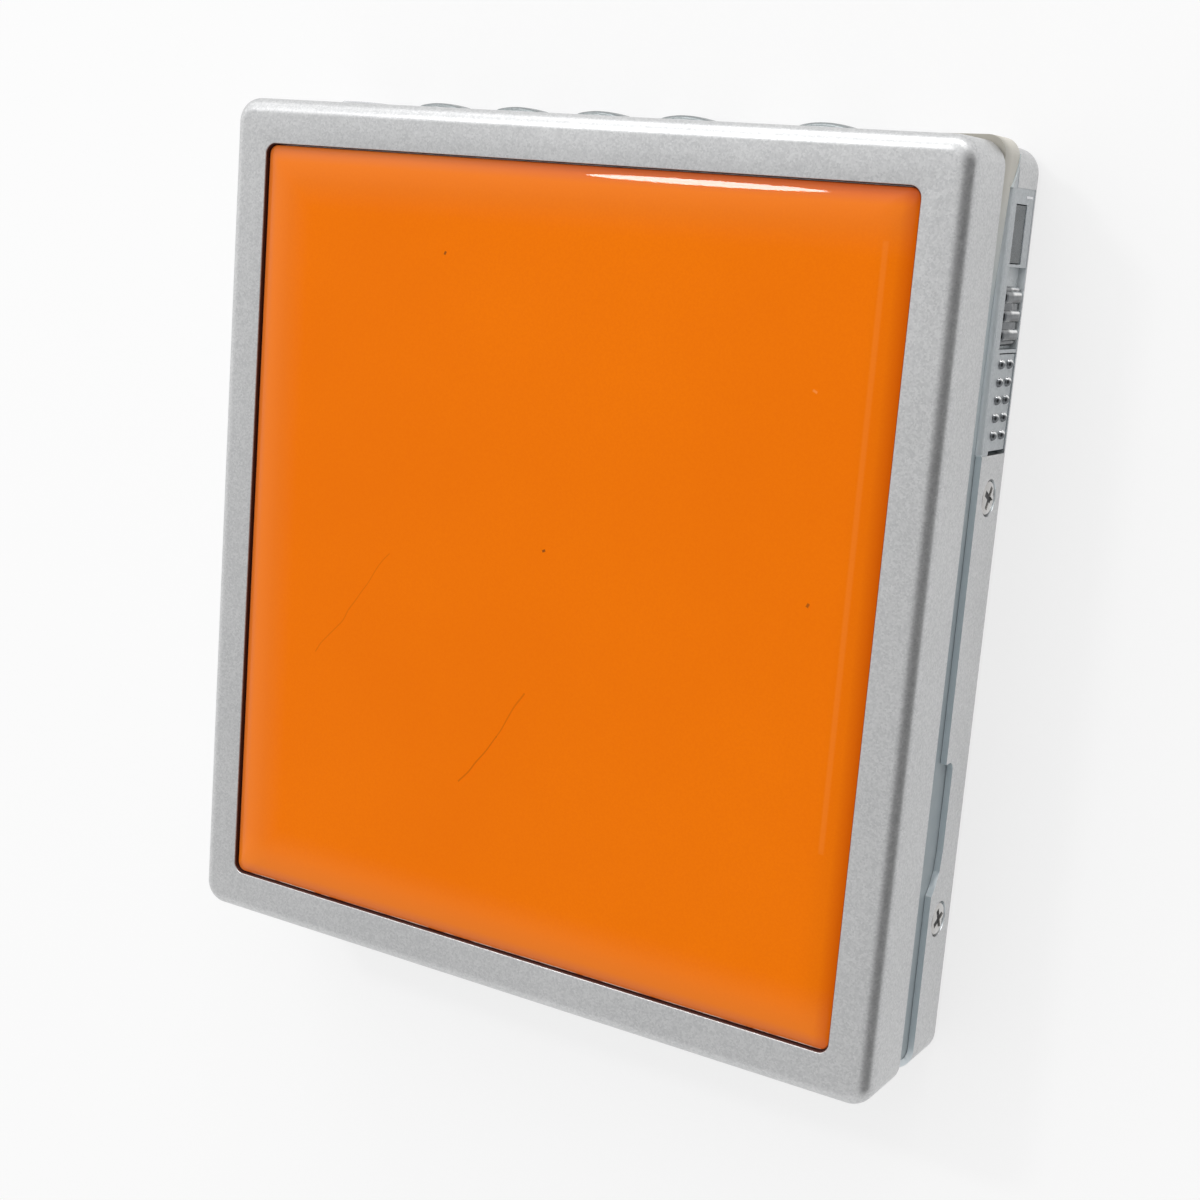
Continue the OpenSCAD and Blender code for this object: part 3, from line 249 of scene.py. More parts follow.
def panel_edge():
    """Cut edge of the panel, pale partly in its own colour and partly as a painted highlight, with painted
    glints that make it brighter in places.
    """
    g = Graph("panel_edge", Roughness=0.2, Coat_Weight=0.3)
    glint_patch = g.remap(g.noise(420, 3), 0.4, 0.62, 0, 1)
    g.to(g.blend(glint_patch, (0.62, 0.12, 0.02), (0.95, 0.74, 0.64)), "Base Color")
    g.bump((g.noise(1800, 2), 0.1, 1e-5))
    return g.mat


def frame_plastic():
    """Milky plastic with painted light that makes it paler and warmer towards the key edge, and painted shade
    under the lid there.
    """
    g = Graph("frame_plastic", Specular_IOR_Level=0.4)
    _, y, z = g.axes()
    corner = g.remap(y, 26 * MM, 37 * MM, 0, 1)
    # Painted light: paler towards the key edge and cream near its corner
    base = g.blend(g.remap(y, 4 * MM, 20 * MM, 0, 1), (0.37, 0.43, 0.46), (0.50, 0.56, 0.58))
    base = g.blend(corner, base, (0.66, 0.63, 0.56))
    # Painted shade under the lid near that corner
    lid_shade = g.math("MULTIPLY", corner, g.remap(z, 7.0 * MM, 8.6 * MM, 0, 0.75))
    base = g.blend(lid_shade, base, (0.36, 0.34, 0.29))
    g.to(g.blend(g.remap(g.noise(300, 3), 0.3, 0.7, 0, 0.18), base, (0.5, 0.52, 0.52)), "Base Color")
    g.to(g.remap(g.noise(900, 3), 0.3, 0.7, 0.38, 0.52), "Roughness")
    g.bump((g.noise(2600, 3), 0.12, 1.5e-5))
    return g.mat


def polished(g):
    """Uneven gloss and fine pits of chrome that has seen wear."""
    g.to(g.remap(g.noise(2500, 3), 0.3, 0.7, 0.12, 0.24), "Roughness")
    g.bump((g.noise(5200, 2), 0.06, 6e-6))
    return g.mat


def lit_chrome(name, dark, light):
    """Dark chrome with painted highlights on the flanks that face the key edge."""
    g = Graph(name, Metallic=1.0)
    toward = g.facing((0.15, 0.86, -0.35))
    grain = g.remap(g.noise(900, 3), 0.3, 0.7, -0.06, 0.06)
    # Painted highlight where the surface faces the key edge
    g.to(g.blend(g.remap(g.math("ADD", toward, grain), 0.22, 0.5, 0, 1), dark, light), "Base Color")
    return polished(g)


def slide_chrome():
    """Chrome of the slide that has seen wear: along its middle, painted highlights on the upper flanks and
    painted shade on the lower flanks, grey beside them.
    """
    g = Graph("slide_chrome", Metallic=1.0)
    z = g.axes()[2]
    rear, front = g.remap(z, 1.0 * MM, 1.6 * MM, 0.4, 1), g.remap(z, 3.0 * MM, 3.6 * MM, 1, 0.12)
    middle = g.math("MULTIPLY", rear, front)
    toward = g.math("ADD", g.facing((0, 1, 0)), g.remap(g.noise(900, 3), 0.3, 0.7, -0.08, 0.08))
    cloud = g.remap(g.noise(1400, 3), 0.35, 0.65, 0, 1)
    colour = g.blend(cloud, (0.09, 0.097, 0.105), (0.15, 0.158, 0.167))
    # Painted highlight on the upper flanks and painted shade on the lower ones, along the middle
    upper = g.math("MULTIPLY", g.remap(toward, 0.08, 0.4, 0, 1), middle)
    colour = g.blend(upper, colour, (0.95, 0.95, 0.95))
    lower = g.math("MULTIPLY", g.remap(toward, -0.1, -0.5, 0, 1), middle)
    g.to(g.blend(lower, colour, (0.015, 0.016, 0.018)), "Base Color")
    return polished(g)


def board_green():
    """Green circuit board with raised copper traces."""
    g = Graph("board_green", Specular_IOR_Level=0.5)
    links = {"Vector": g.coord, "Scale": 420.0, "Mortar Size": 0.035, "Mortar Smooth": 0.2}
    trace = g.node("TexBrick", links, offset=0.37).outputs["Fac"]
    g.to(g.blend(trace, (0.012, 0.085, 0.04), (0.05, 0.24, 0.12)), "Base Color")
    g.to(g.remap(g.noise(800, 3), 0.3, 0.7, 0.3, 0.45), "Roughness")
    g.bump((trace, 0.3, 2e-5), (g.noise(3000, 2), 0.08, 1e-5))
    return g.mat


def lens_glass():
    """Clear lens with a bluish, uneven coating."""
    g = Graph("lens_clear", Roughness=0.04, Transmission_Weight=0.6, IOR=1.52, Coat_Weight=0.5)
    cloud = g.remap(g.noise(500, 2), 0.3, 0.7, 0, 1)
    g.to(g.blend(cloud, (0.30, 0.38, 0.62), (0.46, 0.40, 0.66)), "Base Color")
    g.bump((g.noise(1500, 2), 0.02, 1e-6))
    return g.mat


PANEL_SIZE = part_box("front_panel")[1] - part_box("front_panel")[0]
PANEL_HALF = (PANEL_SIZE[0] / MM / 2, PANEL_SIZE[1] / MM / 2)
DOME_START = PANEL_HALF[0] - 2.3
COAT_EDGE, COAT_FLAT = 0.38, 0.04
SCRATCH, SPECK, PAINTED_GLINT = (0.40, 0.07, 0.0), (0.10, 0.03, 0.01), (0.95, 0.30, 0.06)
# Marks on the panel, scratches and specks with painted glints among them: two ends, half width and bend in
# millimetres, strength and colour
MARKS = (
    (DOME_START, -18.0, DOME_START, 30.5, 0.14, 0.0, 0.18, PAINTED_GLINT),
    (-11.25, 26.6, -11.2, 26.7, 0.06, 0.0, 0.75, SPECK),
    (1.05, 2.25, 1.15, 2.3, 0.06, 0.0, 0.8, SPECK),
    (26.2, 1.75, 26.25, 1.85, 0.07, 0.0, 0.6, SPECK),
    (24.9, 18.8, 25.1, 18.7, 0.06, 0.0, 0.8, PAINTED_GLINT),
    (-6.2, -19.9, -2.5, -15.0, 0.04, 1.6, 0.45, SCRATCH),
    (-2.5, -15.0, 0.3, -10.7, 0.04, 1.6, 0.35, SCRATCH),
    (-23.3, -11.0, -15.2, -0.7, 0.035, 2.4, 0.25, SCRATCH),
)

MATS = {
    "silver_paint": paint("silver_paint", (0.50, 0.505, 0.51), (0.64, 0.642, 0.645), 0.82, 0.35, 7.4),
    "orange_gloss": orange_panel(),
    "panel_edge": panel_edge(),
    "tape": moulded("tape", (0.022, 0.016, 0.014), 0.6),
    "plain_steel": metal("plain_steel", (0.60, 0.61, 0.62), 0.34, (1, 0.02, 1)),
    "spring_steel": metal("spring_steel", (0.50, 0.51, 0.52), 0.24, (1, 0.02, 1)),
    "frame_plastic": frame_plastic(),
    "panel_plastic": paint("panel_plastic", (0.43, 0.458, 0.475), (0.53, 0.555, 0.572), 0.55, 0.40, 7.4),
    "smoke_lens": moulded("smoke_lens", (0.034, 0.050, 0.058), 0.26, 0.2, Coat_Weight=0.12),
    # Pale colour of painted light on the floor of the slide's shaded recess
    "recess_painted_light": moulded("recess_painted_light", (0.72, 0.76, 0.78), 0.3, 0.05),
    # Dark colour of painted shade in the gap round the panel
    "gap_painted_shade": moulded("gap_painted_shade", (0.045, 0.008, 0.004), 0.6),
    "lever_chrome": lit_chrome("lever_chrome", (0.15, 0.158, 0.168), (0.92, 0.92, 0.92)),
    "slide_chrome": slide_chrome(),
    "dot_chrome": metal("dot_chrome", (0.70, 0.71, 0.73), 0.10),
    "bright_screw": metal("bright_screw", (0.52, 0.51, 0.50), 0.14),
    "knob_chrome": metal("knob_chrome", (0.12, 0.127, 0.137), 0.14),
    "black_plastic": moulded("black_plastic", (0.018, 0.018, 0.02), 0.45),
    "dark_plastic": moulded("dark_plastic", (0.035, 0.036, 0.04), 0.42),
    "board_green": board_green(),
    "cap_yellow": moulded("cap_yellow", (0.62, 0.40, 0.10), 0.35),
    "key_silver": paint("key_silver", (0.21, 0.23, 0.235), (0.30, 0.32, 0.325), 0.7, 0.34),
    "deck_steel": metal("deck_steel", (0.54, 0.55, 0.56), 0.36, (0.02, 1, 1)),
    "rubber": moulded("rubber", (0.02, 0.02, 0.02), 0.75),
    "motor_can": metal("motor_can", (0.66, 0.66, 0.67), 0.26, (1, 1, 0.05)),
    "white_plastic": moulded("white_plastic", (0.78, 0.78, 0.75), 0.32, 0.04),
    "magnet": metal("magnet", (0.20, 0.20, 0.21), 0.45),
    "lens_clear": lens_glass(),
    "brass": metal("brass", (0.70, 0.50, 0.20), 0.28),
    "cell_wrap": moulded("cell_wrap", (0.10, 0.13, 0.16), 0.25, 0.2, 700, 0.2, Coat_Weight=0.3),
    "gold_contact": metal("gold_contact", (0.83, 0.62, 0.25), 0.24),
}
RECORD = frame["record"]
SLOT = {row["node"]: row["material_slot"] for row in RECORD["subparts"]}
BODY = {node: body for body, nodes in RECORD["behaviour"]["bodies"].items() for node in nodes}
for node, slot in SLOT.items():
    NODES[node].data.materials.clear()
    NODES[node].data.materials.append(MATS[slot])


# Places from the frame, in millimetres

def span(node):
    """Lowest and highest corner of a CAD node."""
    low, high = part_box(node)
    return low / MM, high / MM


def islands(node):
    """Lowest and highest corner of each separate solid in a CAD node, in order along X and Y."""
    work = bmesh.new()
    work.from_mesh(NODES[node].data)
    bmesh.ops.remove_doubles(work, verts=work.verts, dist=WELD)
    left = set(work.verts)
    found = []
    while left:
        heap = [left.pop()]
        low, high = heap[0].co.copy(), heap[0].co.copy()
        while heap:
            v = heap.pop()
            low = Vector(map(min, low, v.co))
            high = Vector(map(max, high, v.co))
            for e in v.link_edges:
                other = e.other_vert(v)
                if other in left:
                    left.remove(other)
                    heap.append(other)
        found.append((low / MM, high / MM))
    work.free()
    return sorted(found, key=lambda b: (round(b[0].x, 2), round(b[0].y, 2)))


# Mesh helpers, in millimetres

def piece(name, mesh_data, body, slot, replaces=(), angle=35, look=None):
    """A visible piece that rides on a body, smooth but for edges sharper than the angle."""
    mesh = bpy.data.meshes.new(name)
    mesh.from_pydata([Vector(v) * MM for v in mesh_data[0]], [], mesh_data[1])
    work = bmesh.new()
    work.from_mesh(mesh)
    bmesh.ops.remove_doubles(work, verts=work.verts, dist=WELD)
    bmesh.ops.recalc_face_normals(work, faces=work.faces)
    for f in work.faces:
        f.smooth = True
    work.to_mesh(mesh)
    work.free()
    mesh.set_sharp_from_angle(angle=math.radians(angle))
    made = bpy.data.objects.new(name, mesh)
    SCENE.collection.objects.link(made)
    mesh.materials.append(MATS[look or slot])
    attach(made, body)
    if replaces:
        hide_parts(*replaces)
    return made


def arc(x, y, r, a0, a1, n):
    """Points along a circle from one angle to another, in degrees."""
    angles = [math.radians(a0 + (a1 - a0) * i / n) for i in range(n + 1)]
    return [(x + r * math.cos(a), y + r * math.sin(a)) for a in angles]


def outline(w, h, r, n=14):
    """Rounded rectangle round the origin, anticlockwise."""
    least_r, least_side = 0.02, 0.001
    r = min(max(r, least_r), w / 2 - least_side, h / 2 - least_side)
    x, y = w / 2 - r, h / 2 - r
    return (arc(x, y, r, 0, 90, n) + arc(-x, y, r, 90, 180, n)
            + arc(-x, -y, r, 180, 270, n) + arc(x, -y, r, 270, 360, n))


def loft(rings, loop=False, caps=False):
    """A skin over rings of points, closed from the last to the first or by caps."""
    verts = [p for ring in rings for p in ring]
    n = len(rings[0])
    faces = []
    for i in range(len(rings) if loop else len(rings) - 1):
        a, b = i * n, ((i + 1) % len(rings)) * n
        faces += [(a + j, a + (j + 1) % n, b + (j + 1) % n, b + j) for j in range(n)]
    if caps:
        faces += [tuple(range(n)), tuple((len(rings) - 1) * n + j for j in range(n))]
    return verts, faces


def slab(w, h, r, t, edge, foot=0.0, n=6):
    """Plate on z = 0 with rounded corners, a rounded upper edge and, if foot is set, a rounded lower one."""
    prof = [(foot + x, foot + y) for x, y in arc(0, 0, foot, 270, 180, 4)] if foot else [(0.0, 0.0)]
    prof += [(edge + x, t - edge + y) for x, y in arc(0, 0, edge, 180, 90, 5)]
    return loft([[(x, y, z) for x, y in outline(w - 2 * d, h - 2 * d, r - d, n)] for d, z in prof], caps=True)


def circles(profile, n):
    """A circle of n points round Z for each (radius, height)."""
    turns = [2 * math.pi * j / n for j in range(n)]
    return [[(r * math.cos(a), r * math.sin(a), z) for a in turns] for r, z in profile]


def lathe(profile, n=40):
    """Solid of revolution round Z from (radius, height) points."""
    return loft(circles(profile, n), caps=True)


def ring(profile, n=40):
    """Closed ring round Z from the (radius, height) points of its section."""
    return loft(circles(profile, n), loop=True)


def dome(r, base, rise, first):
    """Points of a dome's section from a first angle up, ten degrees apart, to a tiny flat tip."""
    tip_r = 0.01
    angles = [math.radians(a) for a in range(first, 90, 10)]
    return [(r * math.cos(a), base + (rise - base) * math.sin(a)) for a in angles] + [(tip_r, rise)]


def tube(path, r, sides=10):
    """Round wire along a list of points."""
    path = [Vector(p) for p in path]
    side = None
    rings = []
    for i, p in enumerate(path):
        along = (path[min(i + 1, len(path) - 1)] - path[max(i - 1, 0)]).normalized()
        side = along.orthogonal() if side is None else side
        side = (side - along * side.dot(along)).normalized()
        up = along.cross(side)
        rings.append([tuple(p + side * r * math.cos(a) + up * r * math.sin(a))
                      for a in (2 * math.pi * j / sides for j in range(sides))])
    return loft(rings, caps=True)


def helix(r, length, turns, steps=24):
    """Points of a coil round Z with its end turns lying flat."""
    n = int(turns * steps)
    # Share of the length in each flat end, and of the rise that is even all along
    flat, even = 0.12, 0.06
    points = []
    for i in range(n + 1):
        t = i / n
        rise = min(max((t - flat) / (1 - 2 * flat), 0.0), 1.0)
        a = 2 * math.pi * i / steps
        points.append((r * math.cos(a), r * math.sin(a), length * (even * t + (1 - even) * rise)))
    return points


# Turns that bring Z to the named axis
TURNS = {
    "+z": Matrix.Identity(3),
    "-z": Matrix(((1, 0, 0), (0, -1, 0), (0, 0, -1))),
    "+x": Matrix(((0, 0, 1), (1, 0, 0), (0, 1, 0))),
    "+y": Matrix(((1, 0, 0), (0, 0, 1), (0, -1, 0))),
}


def put(mesh_data, at, up="+z", spin=0.0):
    """A mesh moved to a place, with its Z turned to the named axis."""
    move = Matrix.Translation(at) @ TURNS[up].to_4x4() @ Matrix.Rotation(math.radians(spin), 4, "Z")
    return [tuple(move @ Vector(v)) for v in mesh_data[0]], mesh_data[1]


def joined(*meshes):
    """Several meshes as one."""
    verts, faces = [], []
    for v, f in meshes:
        faces += [tuple(i + len(verts) for i in face) for face in f]
        verts += v
    return verts, faces


def soften(node, width):
    """Rounds the edges of a CAD node that is shown as it is."""
    weld = NODES[node].modifiers.new("weld", "WELD")
    weld.merge_threshold = WELD
    bevel = NODES[node].modifiers.new("bevel", "BEVEL")
    bevel.width = width * MM
    bevel.segments = 2
    bevel.limit_method = "ANGLE"
    bevel.angle_limit = math.radians(40)
    bevel.use_clamp_overlap = True
    bevel.harden_normals = True


# Lid

LID_LOW, LID_HIGH = span("lid_frame")
PANEL_LOW, PANEL_HIGH = span("front_panel")
BODY_W = LID_HIGH.x - LID_LOW.x
BODY_H = LID_HIGH.y - LID_LOW.y
RIM_Z = LID_HIGH.z
CORNER_R, LID_FILLET, LID_WALL = 2.2, 1.4, 1.0
OPEN_R, PANEL_GAP, LEDGE_W, LEDGE_T = 1.0, 0.12, 3.0, 0.5
RIM_W = (BODY_W - (PANEL_HIGH.x - PANEL_LOW.x)) / 2 - PANEL_GAP
SEAT_Z = span("panel_tape")[0].z


def lid_ring(inset, z, r):
    """The lid's outline, set in from its edge, at a height."""
    return [(x, y, z) for x, y in outline(BODY_W - 2 * inset, BODY_H - 2 * inset, r)]


def lid_frame():
    """Painted frame of the lid, swept round its outline, and a dark sheet on the wall of the gap round the
    panel as painted shade.
    """
    low, ceiling = LID_LOW.z, SEAT_Z - LEDGE_T
    foot_r, lip_r, foot_bevel, ceiling_bevel, rim_middle = 0.15, 0.07, 0.1, 0.15, 2.6
    rim_r = CORNER_R - LID_FILLET
    prof = [(LID_WALL, low + foot_bevel), (LID_WALL - foot_bevel, low)]
    prof += [(foot_r + x, low + foot_r + y) for x, y in arc(0, 0, foot_r, 270, 180, 4)]
    prof += [(LID_FILLET + x, RIM_Z - LID_FILLET + y) for x, y in arc(0, 0, LID_FILLET, 180, 90, 16)]
    prof += [(rim_middle, RIM_Z)]
    prof += [(RIM_W - lip_r + x, RIM_Z - lip_r + y) for x, y in arc(0, 0, lip_r, 90, 0, 4)]
    prof += [(RIM_W, SEAT_Z), (RIM_W + LEDGE_W, SEAT_Z), (RIM_W + LEDGE_W, ceiling),
             (LID_WALL + ceiling_bevel, ceiling), (LID_WALL, ceiling - ceiling_bevel)]

    def radius(inset):
        """Corner radius at a distance from the lid's edge."""
        if inset <= LID_FILLET:
            return CORNER_R - inset
        share = min((inset - LID_FILLET) / (RIM_W - LID_FILLET), 1.0)
        return rim_r + (OPEN_R - rim_r) * share

    mesh = loft([lid_ring(d, z, radius(d)) for d, z in prof], loop=True)
    piece("lid_frame_skin", mesh, "lid", "silver_paint", ["lid_frame"])
    # A dark sheet on the wall of the gap round the panel: painted shade
    near, far, foot = RIM_W + 0.005, RIM_W + 0.045, SEAT_Z + 0.02
    shade_sheet = [(near, foot), (near, RIM_Z - 0.09), (far, RIM_Z - 0.12), (far, foot)]
    mesh = loft([lid_ring(d, z, OPEN_R) for d, z in shade_sheet], loop=True)
    piece("panel_gap_painted_shade", mesh, "lid", "tape", look="gap_painted_shade")


def front_panel():
    """Orange panel whose edge curves down; the brink of its near side has the pale cut edge with its painted
    highlight.
    """
    w, h = PANEL_HIGH.x - PANEL_LOW.x, PANEL_HIGH.y - PANEL_LOW.y
    top, edge, drop, soft, steps = PANEL_HIGH.z, 3.2, 0.55, 0.12, 24
    r0, r_growth = OPEN_R - PANEL_GAP, 0.25
    big = (edge ** 2 + drop ** 2) / (2 * drop)
    sweep = math.asin((edge - soft) / big)
    brink = top - big * (1 - math.cos(sweep))
    prof = [(0.0, PANEL_LOW.z)]
    prof += [(soft + x, brink - soft + y) for x, y in arc(0, 0, soft, 180, 100, 5)]
    for i in range(steps + 1):
        a = sweep * (1 - i / steps)
        prof.append((edge - big * math.sin(a), top - big * (1 - math.cos(a))))
    rings = [[(x, y, z) for x, y in outline(w - 2 * d, h - 2 * d, r0 + r_growth * d)] for d, z in prof]
    made = piece("orange_panel", loft(rings, caps=True), "lid", "orange_gloss", ["front_panel"], angle=50)
    made.data.materials.append(MATS["panel_edge"])
    for f in made.data.polygons:
        if f.center.y / MM < PANEL_LOW.y + soft and f.center.z / MM > brink - soft:
            f.material_index = 1


lid_frame()
front_panel()


# Keys on the upper edge

def racetrack(w, h, n=8):
    """Long round-ended loop with points along its straight sides too."""
    r, x = h / 2, w / 2 - h / 2
    across = [x - 2 * x * i / n for i in range(1, n)]
    return (arc(x, 0, r, -90, 90, 2 * n) + [(a, r) for a in across]
            + arc(-x, 0, r, 90, 270, 2 * n) + [(-a, -r) for a in across])


def key(node):
    """A key: a smooth round-ended dome on a flange that stays inside the case."""
    low, high = span(node)
    x, z = (low.x + high.x) / 2, (low.z + high.z) / 2
    w, h, soft, steps, ridge = 6.2, 3.0, 0.45, 5, 0.05
    tip, dome_r, side_fall, root_y = high.y - 0.1, 8.6, 0.028, low.y + 0.2
    flange_w, flange_h, flange_t, flange_soft = w + 0.9, h + 0.7, 0.6, 0.08

    def surface(px, pz):
        """Height of the dome, which falls along the key and a little across it."""
        return tip - dome_r + math.sqrt(dome_r ** 2 - px ** 2) - side_fall * pz ** 2

    prof = [(soft + a, soft - b) for a, b in arc(0, 0, soft, 180, 90, 6)]
    prof += [(soft + (h / 2 - ridge - soft) * i / steps, 0.0) for i in range(1, steps + 1)]
    rings = [[(x + px, root_y, z + pz) for px, pz in racetrack(w, h)]]
    for inset, sink in prof:
        loop = racetrack(w - 2 * inset, h - 2 * inset)
        rings.append([(x + px, surface(px, pz) - sink, z + pz) for px, pz in loop])
    flange = slab(flange_w, flange_h, flange_h / 2, flange_t, flange_soft, flange_soft)
    whole = joined(loft(rings, caps=True), put(flange, (x, low.y, z), "+y"))
    piece(node + "_dome", whole, BODY[node], "key_silver", [node], angle=50)


for node in ("volume_down_key", "volume_up_key", "previous_key", "next_key", "play_key"):
    key(node)


# Screws

def screw(head_r, head_t, shank_r, length):
    """Pan-head screw with its head's face on z = 0, and a dark plug as painted shade at the bottom of its
    cross recess.
    """
    soft = head_t * 0.8
    reach, half, deep = head_r * 0.70, head_r * 0.18, head_t * 0.85
    cross = [(reach, -half), (reach, half), (half, half), (half, reach), (-half, reach), (-half, half),
             (-reach, half), (-reach, -half), (-half, -half), (-half, -reach), (half, -reach), (half, -half)]
    sides, pitch, tip = 48, 0.16, 0.12
    work = bmesh.new()

    def scaled(share, z):
        """The cross made smaller, at a height."""
        return [(x * share, y * share, z) for x, y in cross]

    def loop(points):
        return [work.verts.new(p) for p in points]

    def wall(a, b):
        for j in range(len(a)):
            k = (j + 1) % len(a)
            work.faces.new((a[j], a[k], b[k], b[j]))

    body = [(shank_r * 0.6, -length)]
    for i in range(int((length - head_t) / pitch)):
        z = -length + tip + i * pitch
        body += [(shank_r, z), (shank_r * 0.86, z + pitch / 2)]
    body += [(shank_r * 0.9, -head_t), (head_r, -head_t)]
    body += [(head_r - soft + a, -soft + b) for a, b in arc(0, 0, soft, 0, 70, 5)]
    rings = [loop(circle) for circle in circles(body, sides)]
    for a, b in zip(rings, rings[1:]):
        wall(a, b)
    work.faces.new(rings[0])
    brim = loop(scaled(1.0, 0.0))
    foot = loop(scaled(0.86, -deep))
    wall(brim, foot)
    work.faces.new(foot)
    edges = [work.edges.get((r[j], r[(j + 1) % len(r)])) for r in (rings[-1], brim) for j in range(len(r))]
    bmesh.ops.triangle_fill(work, use_beauty=True, edges=edges)
    work.verts.index_update()
    data = [tuple(v.co) for v in work.verts], [tuple(v.index for v in f.verts) for f in work.faces]
    work.free()
    return data, loft([scaled(0.9, -deep), scaled(0.93, -deep * 0.55)], caps=True)


def screws(node, axis, head_t, shank_r, spins):
    """A screw in place of each solid of a CAD node, with its head towards an axis."""
    k = "xyz".index(axis[1])
    parts, recess_shades = [], []
    for (low, high), spin in zip(islands(node), spins):
        size = high - low
        at = (low + high) / 2
        at[k] = high[k] if axis[0] == "+" else low[k]
        head_r = max(size[(k + 1) % 3], size[(k + 2) % 3]) / 2
        whole, slot = screw(head_r, head_t, shank_r, size[k])
        parts.append(put(whole, at, axis, spin))
        recess_shades.append(put(slot, at, axis, spin))
    piece(node + "_detail", joined(*parts), BODY[node], SLOT[node], [node], angle=30)
    # Dark plugs in the cross recesses: painted shade
    piece(node + "_recess_shades", joined(*recess_shades), BODY[node], SLOT[node], angle=30, look="black_plastic")


screws("side_screws", "+x", 0.35, 0.7, (25, 62))
screws("rear_screws", "-z", 0.33, 0.7, (15, 50))
screws("deck_screws", "+z", 0.4, 0.7, (10, 40, 70, 25))


# Controls on the right side

CTL_LOW, CTL_HIGH = span("control_panel")
RECESS_Z = (CTL_LOW.z, 5.05)
RECESS_Y = (22.95, 29.45)
RECESS_X = CTL_HIGH.x - 0.6


def lever_dots():
    """Two rows of polished domes on the open lever."""
    r, rise, rim, root_r, root = 0.40, 0.38, 0.03, 0.3, 0.15
    count, pitch_y, pitch_z, first_y, first_z = 5, 1.44, 1.95, 1.25, 2.2
    x, y = CTL_HIGH.x - 0.06, span("open_lever")[0].y + first_y
    dot = lathe([(root_r, -root), (r + 0.02, 0.0), (r, rim)] + dome(r, rim, rise, 10), 28)
    dots = [put(dot, (x, y + i * pitch_y, first_z + j * pitch_z), "+x") for i in range(count) for j in (0, 1)]
    piece("lever_dots", joined(*dots), "open_lever", "knob_chrome", angle=60, look="lever_chrome")


def hold_knob():
    """Three rounded ridges on a slide that reaches the rear edge of the controls."""
    low, high = span("hold_knob")
    z0, z1 = RECESS_Z[0] + 0.03, 4.9
    tall, mid = z1 - z0, (z0 + z1) / 2
    length = high.y - low.y
    plate_x, plate_t, plate_r = CTL_HIGH.x - 0.54, 0.4, 0.3
    ridge_x, ridge_w, ridge_r, pitch, first = plate_x + 0.1, 1.06, 0.4, 1.5, 0.875
    stem = (low.x, low.y + 2.1, 3.5)
    plate = slab(length, tall, plate_r, plate_t, plate_r)
    ridge = slab(ridge_w, tall, ridge_r, high.x - ridge_x, ridge_r, n=8)
    parts = [put(plate, (plate_x, low.y + length / 2, mid), "+x")]
    parts += [put(ridge, (ridge_x, low.y + first + i * pitch, mid), "+x") for i in range(3)]
    parts.append(put(slab(1.7, 1.0, 0.1, ridge_x - low.x, 0.05), stem, "+x"))
    parts.append(put(slab(2.5, 2.0, 0.15, 0.75, 0.06), stem, "+x"))
    piece("hold_knob_ridges", joined(*parts), "hold_knob", "knob_chrome", ["hold_knob"], angle=60,
          look="slide_chrome")


def control_details():
    """Floor and end of the slide's recess, painted pale as painted light in that shaded recess; the window's
    glint; the fillers in the strip's joints.
    """
    face, (y0, y1), (z0, z1) = CTL_HIGH.x, RECESS_Y, RECESS_Z
    play, sheet, soft = 0.06, 0.05, 0.02
    mid, long = (y0 + y1) / 2, y1 - y0 - play
    bottom = put(slab(long, z1 - z0 - play, sheet, sheet, soft), (RECESS_X, mid, (z0 + z1) / 2), "+x")
    ledge = slab(long, 0.035, 0.01, face - 0.01 - RECESS_X, 0.01)
    whole = joined(bottom, put(ledge, (RECESS_X, mid, z0 - 0.015), "+x"))
    # Its pale colour is painted light in the shaded recess
    piece("hold_recess_floor", whole, "case", "panel_plastic", angle=40, look="recess_painted_light")

    at = (face - 0.02, span("side_window")[1].y + 0.14, CTL_LOW.z + 1.15)
    tick = put(slab(0.2, 1.5, 0.09, sheet, soft), at, "+x")
    piece("window_glint", tick, "case", "panel_plastic", angle=40, look="dot_chrome")

    filler_t, filler_x = 0.5, face - 0.51
    upper = slab(0.12, CTL_HIGH.z - CTL_LOW.z - 0.1, soft, filler_t, soft)
    lower = slab(0.16, 1.4, soft, filler_t, soft)
    parts = [put(upper, (filler_x, CTL_HIGH.y + 0.02, (CTL_LOW.z + CTL_HIGH.z) / 2), "+x"),
             put(lower, (filler_x, CTL_LOW.y - 0.06, CTL_HIGH.z - 0.72), "+x")]
    # The strip's upper end runs out in a slope: distance past it and height over its foot
    dip = CTL_HIGH.z - 1.0
    slope = ((0.0, 0.0), (2.6, 0.0), (1.9, 0.12), (1.2, 0.33), (0.5, 0.68), (0.0, 0.99))
    ends = [[(x, CTL_HIGH.y + y, dip + z) for y, z in slope] for x in (face - filler_t, face)]
    piece("control_joints", joined(*parts, loft(ends, caps=True)), "case", "panel_plastic", angle=40)


lever_dots()
hold_knob()
control_details()


# Springs and lead screw

def spring(node, axis, wire, turns):
    """A coil of round wire along X or Y that fills the box of a CAD spring."""
    low, high = span(node)
    along, across = (0, 1) if axis == "+x" else (1, 0)
    size = high - low
    at = (low + high) / 2
    at[along] = low[along] + wire
    coil = tube(helix(size[across] / 2 - wire, size[along] - 2 * wire, turns), wire)
    piece(node + "_coil", put(coil, at, axis), "case", "spring_steel", [node], angle=60)


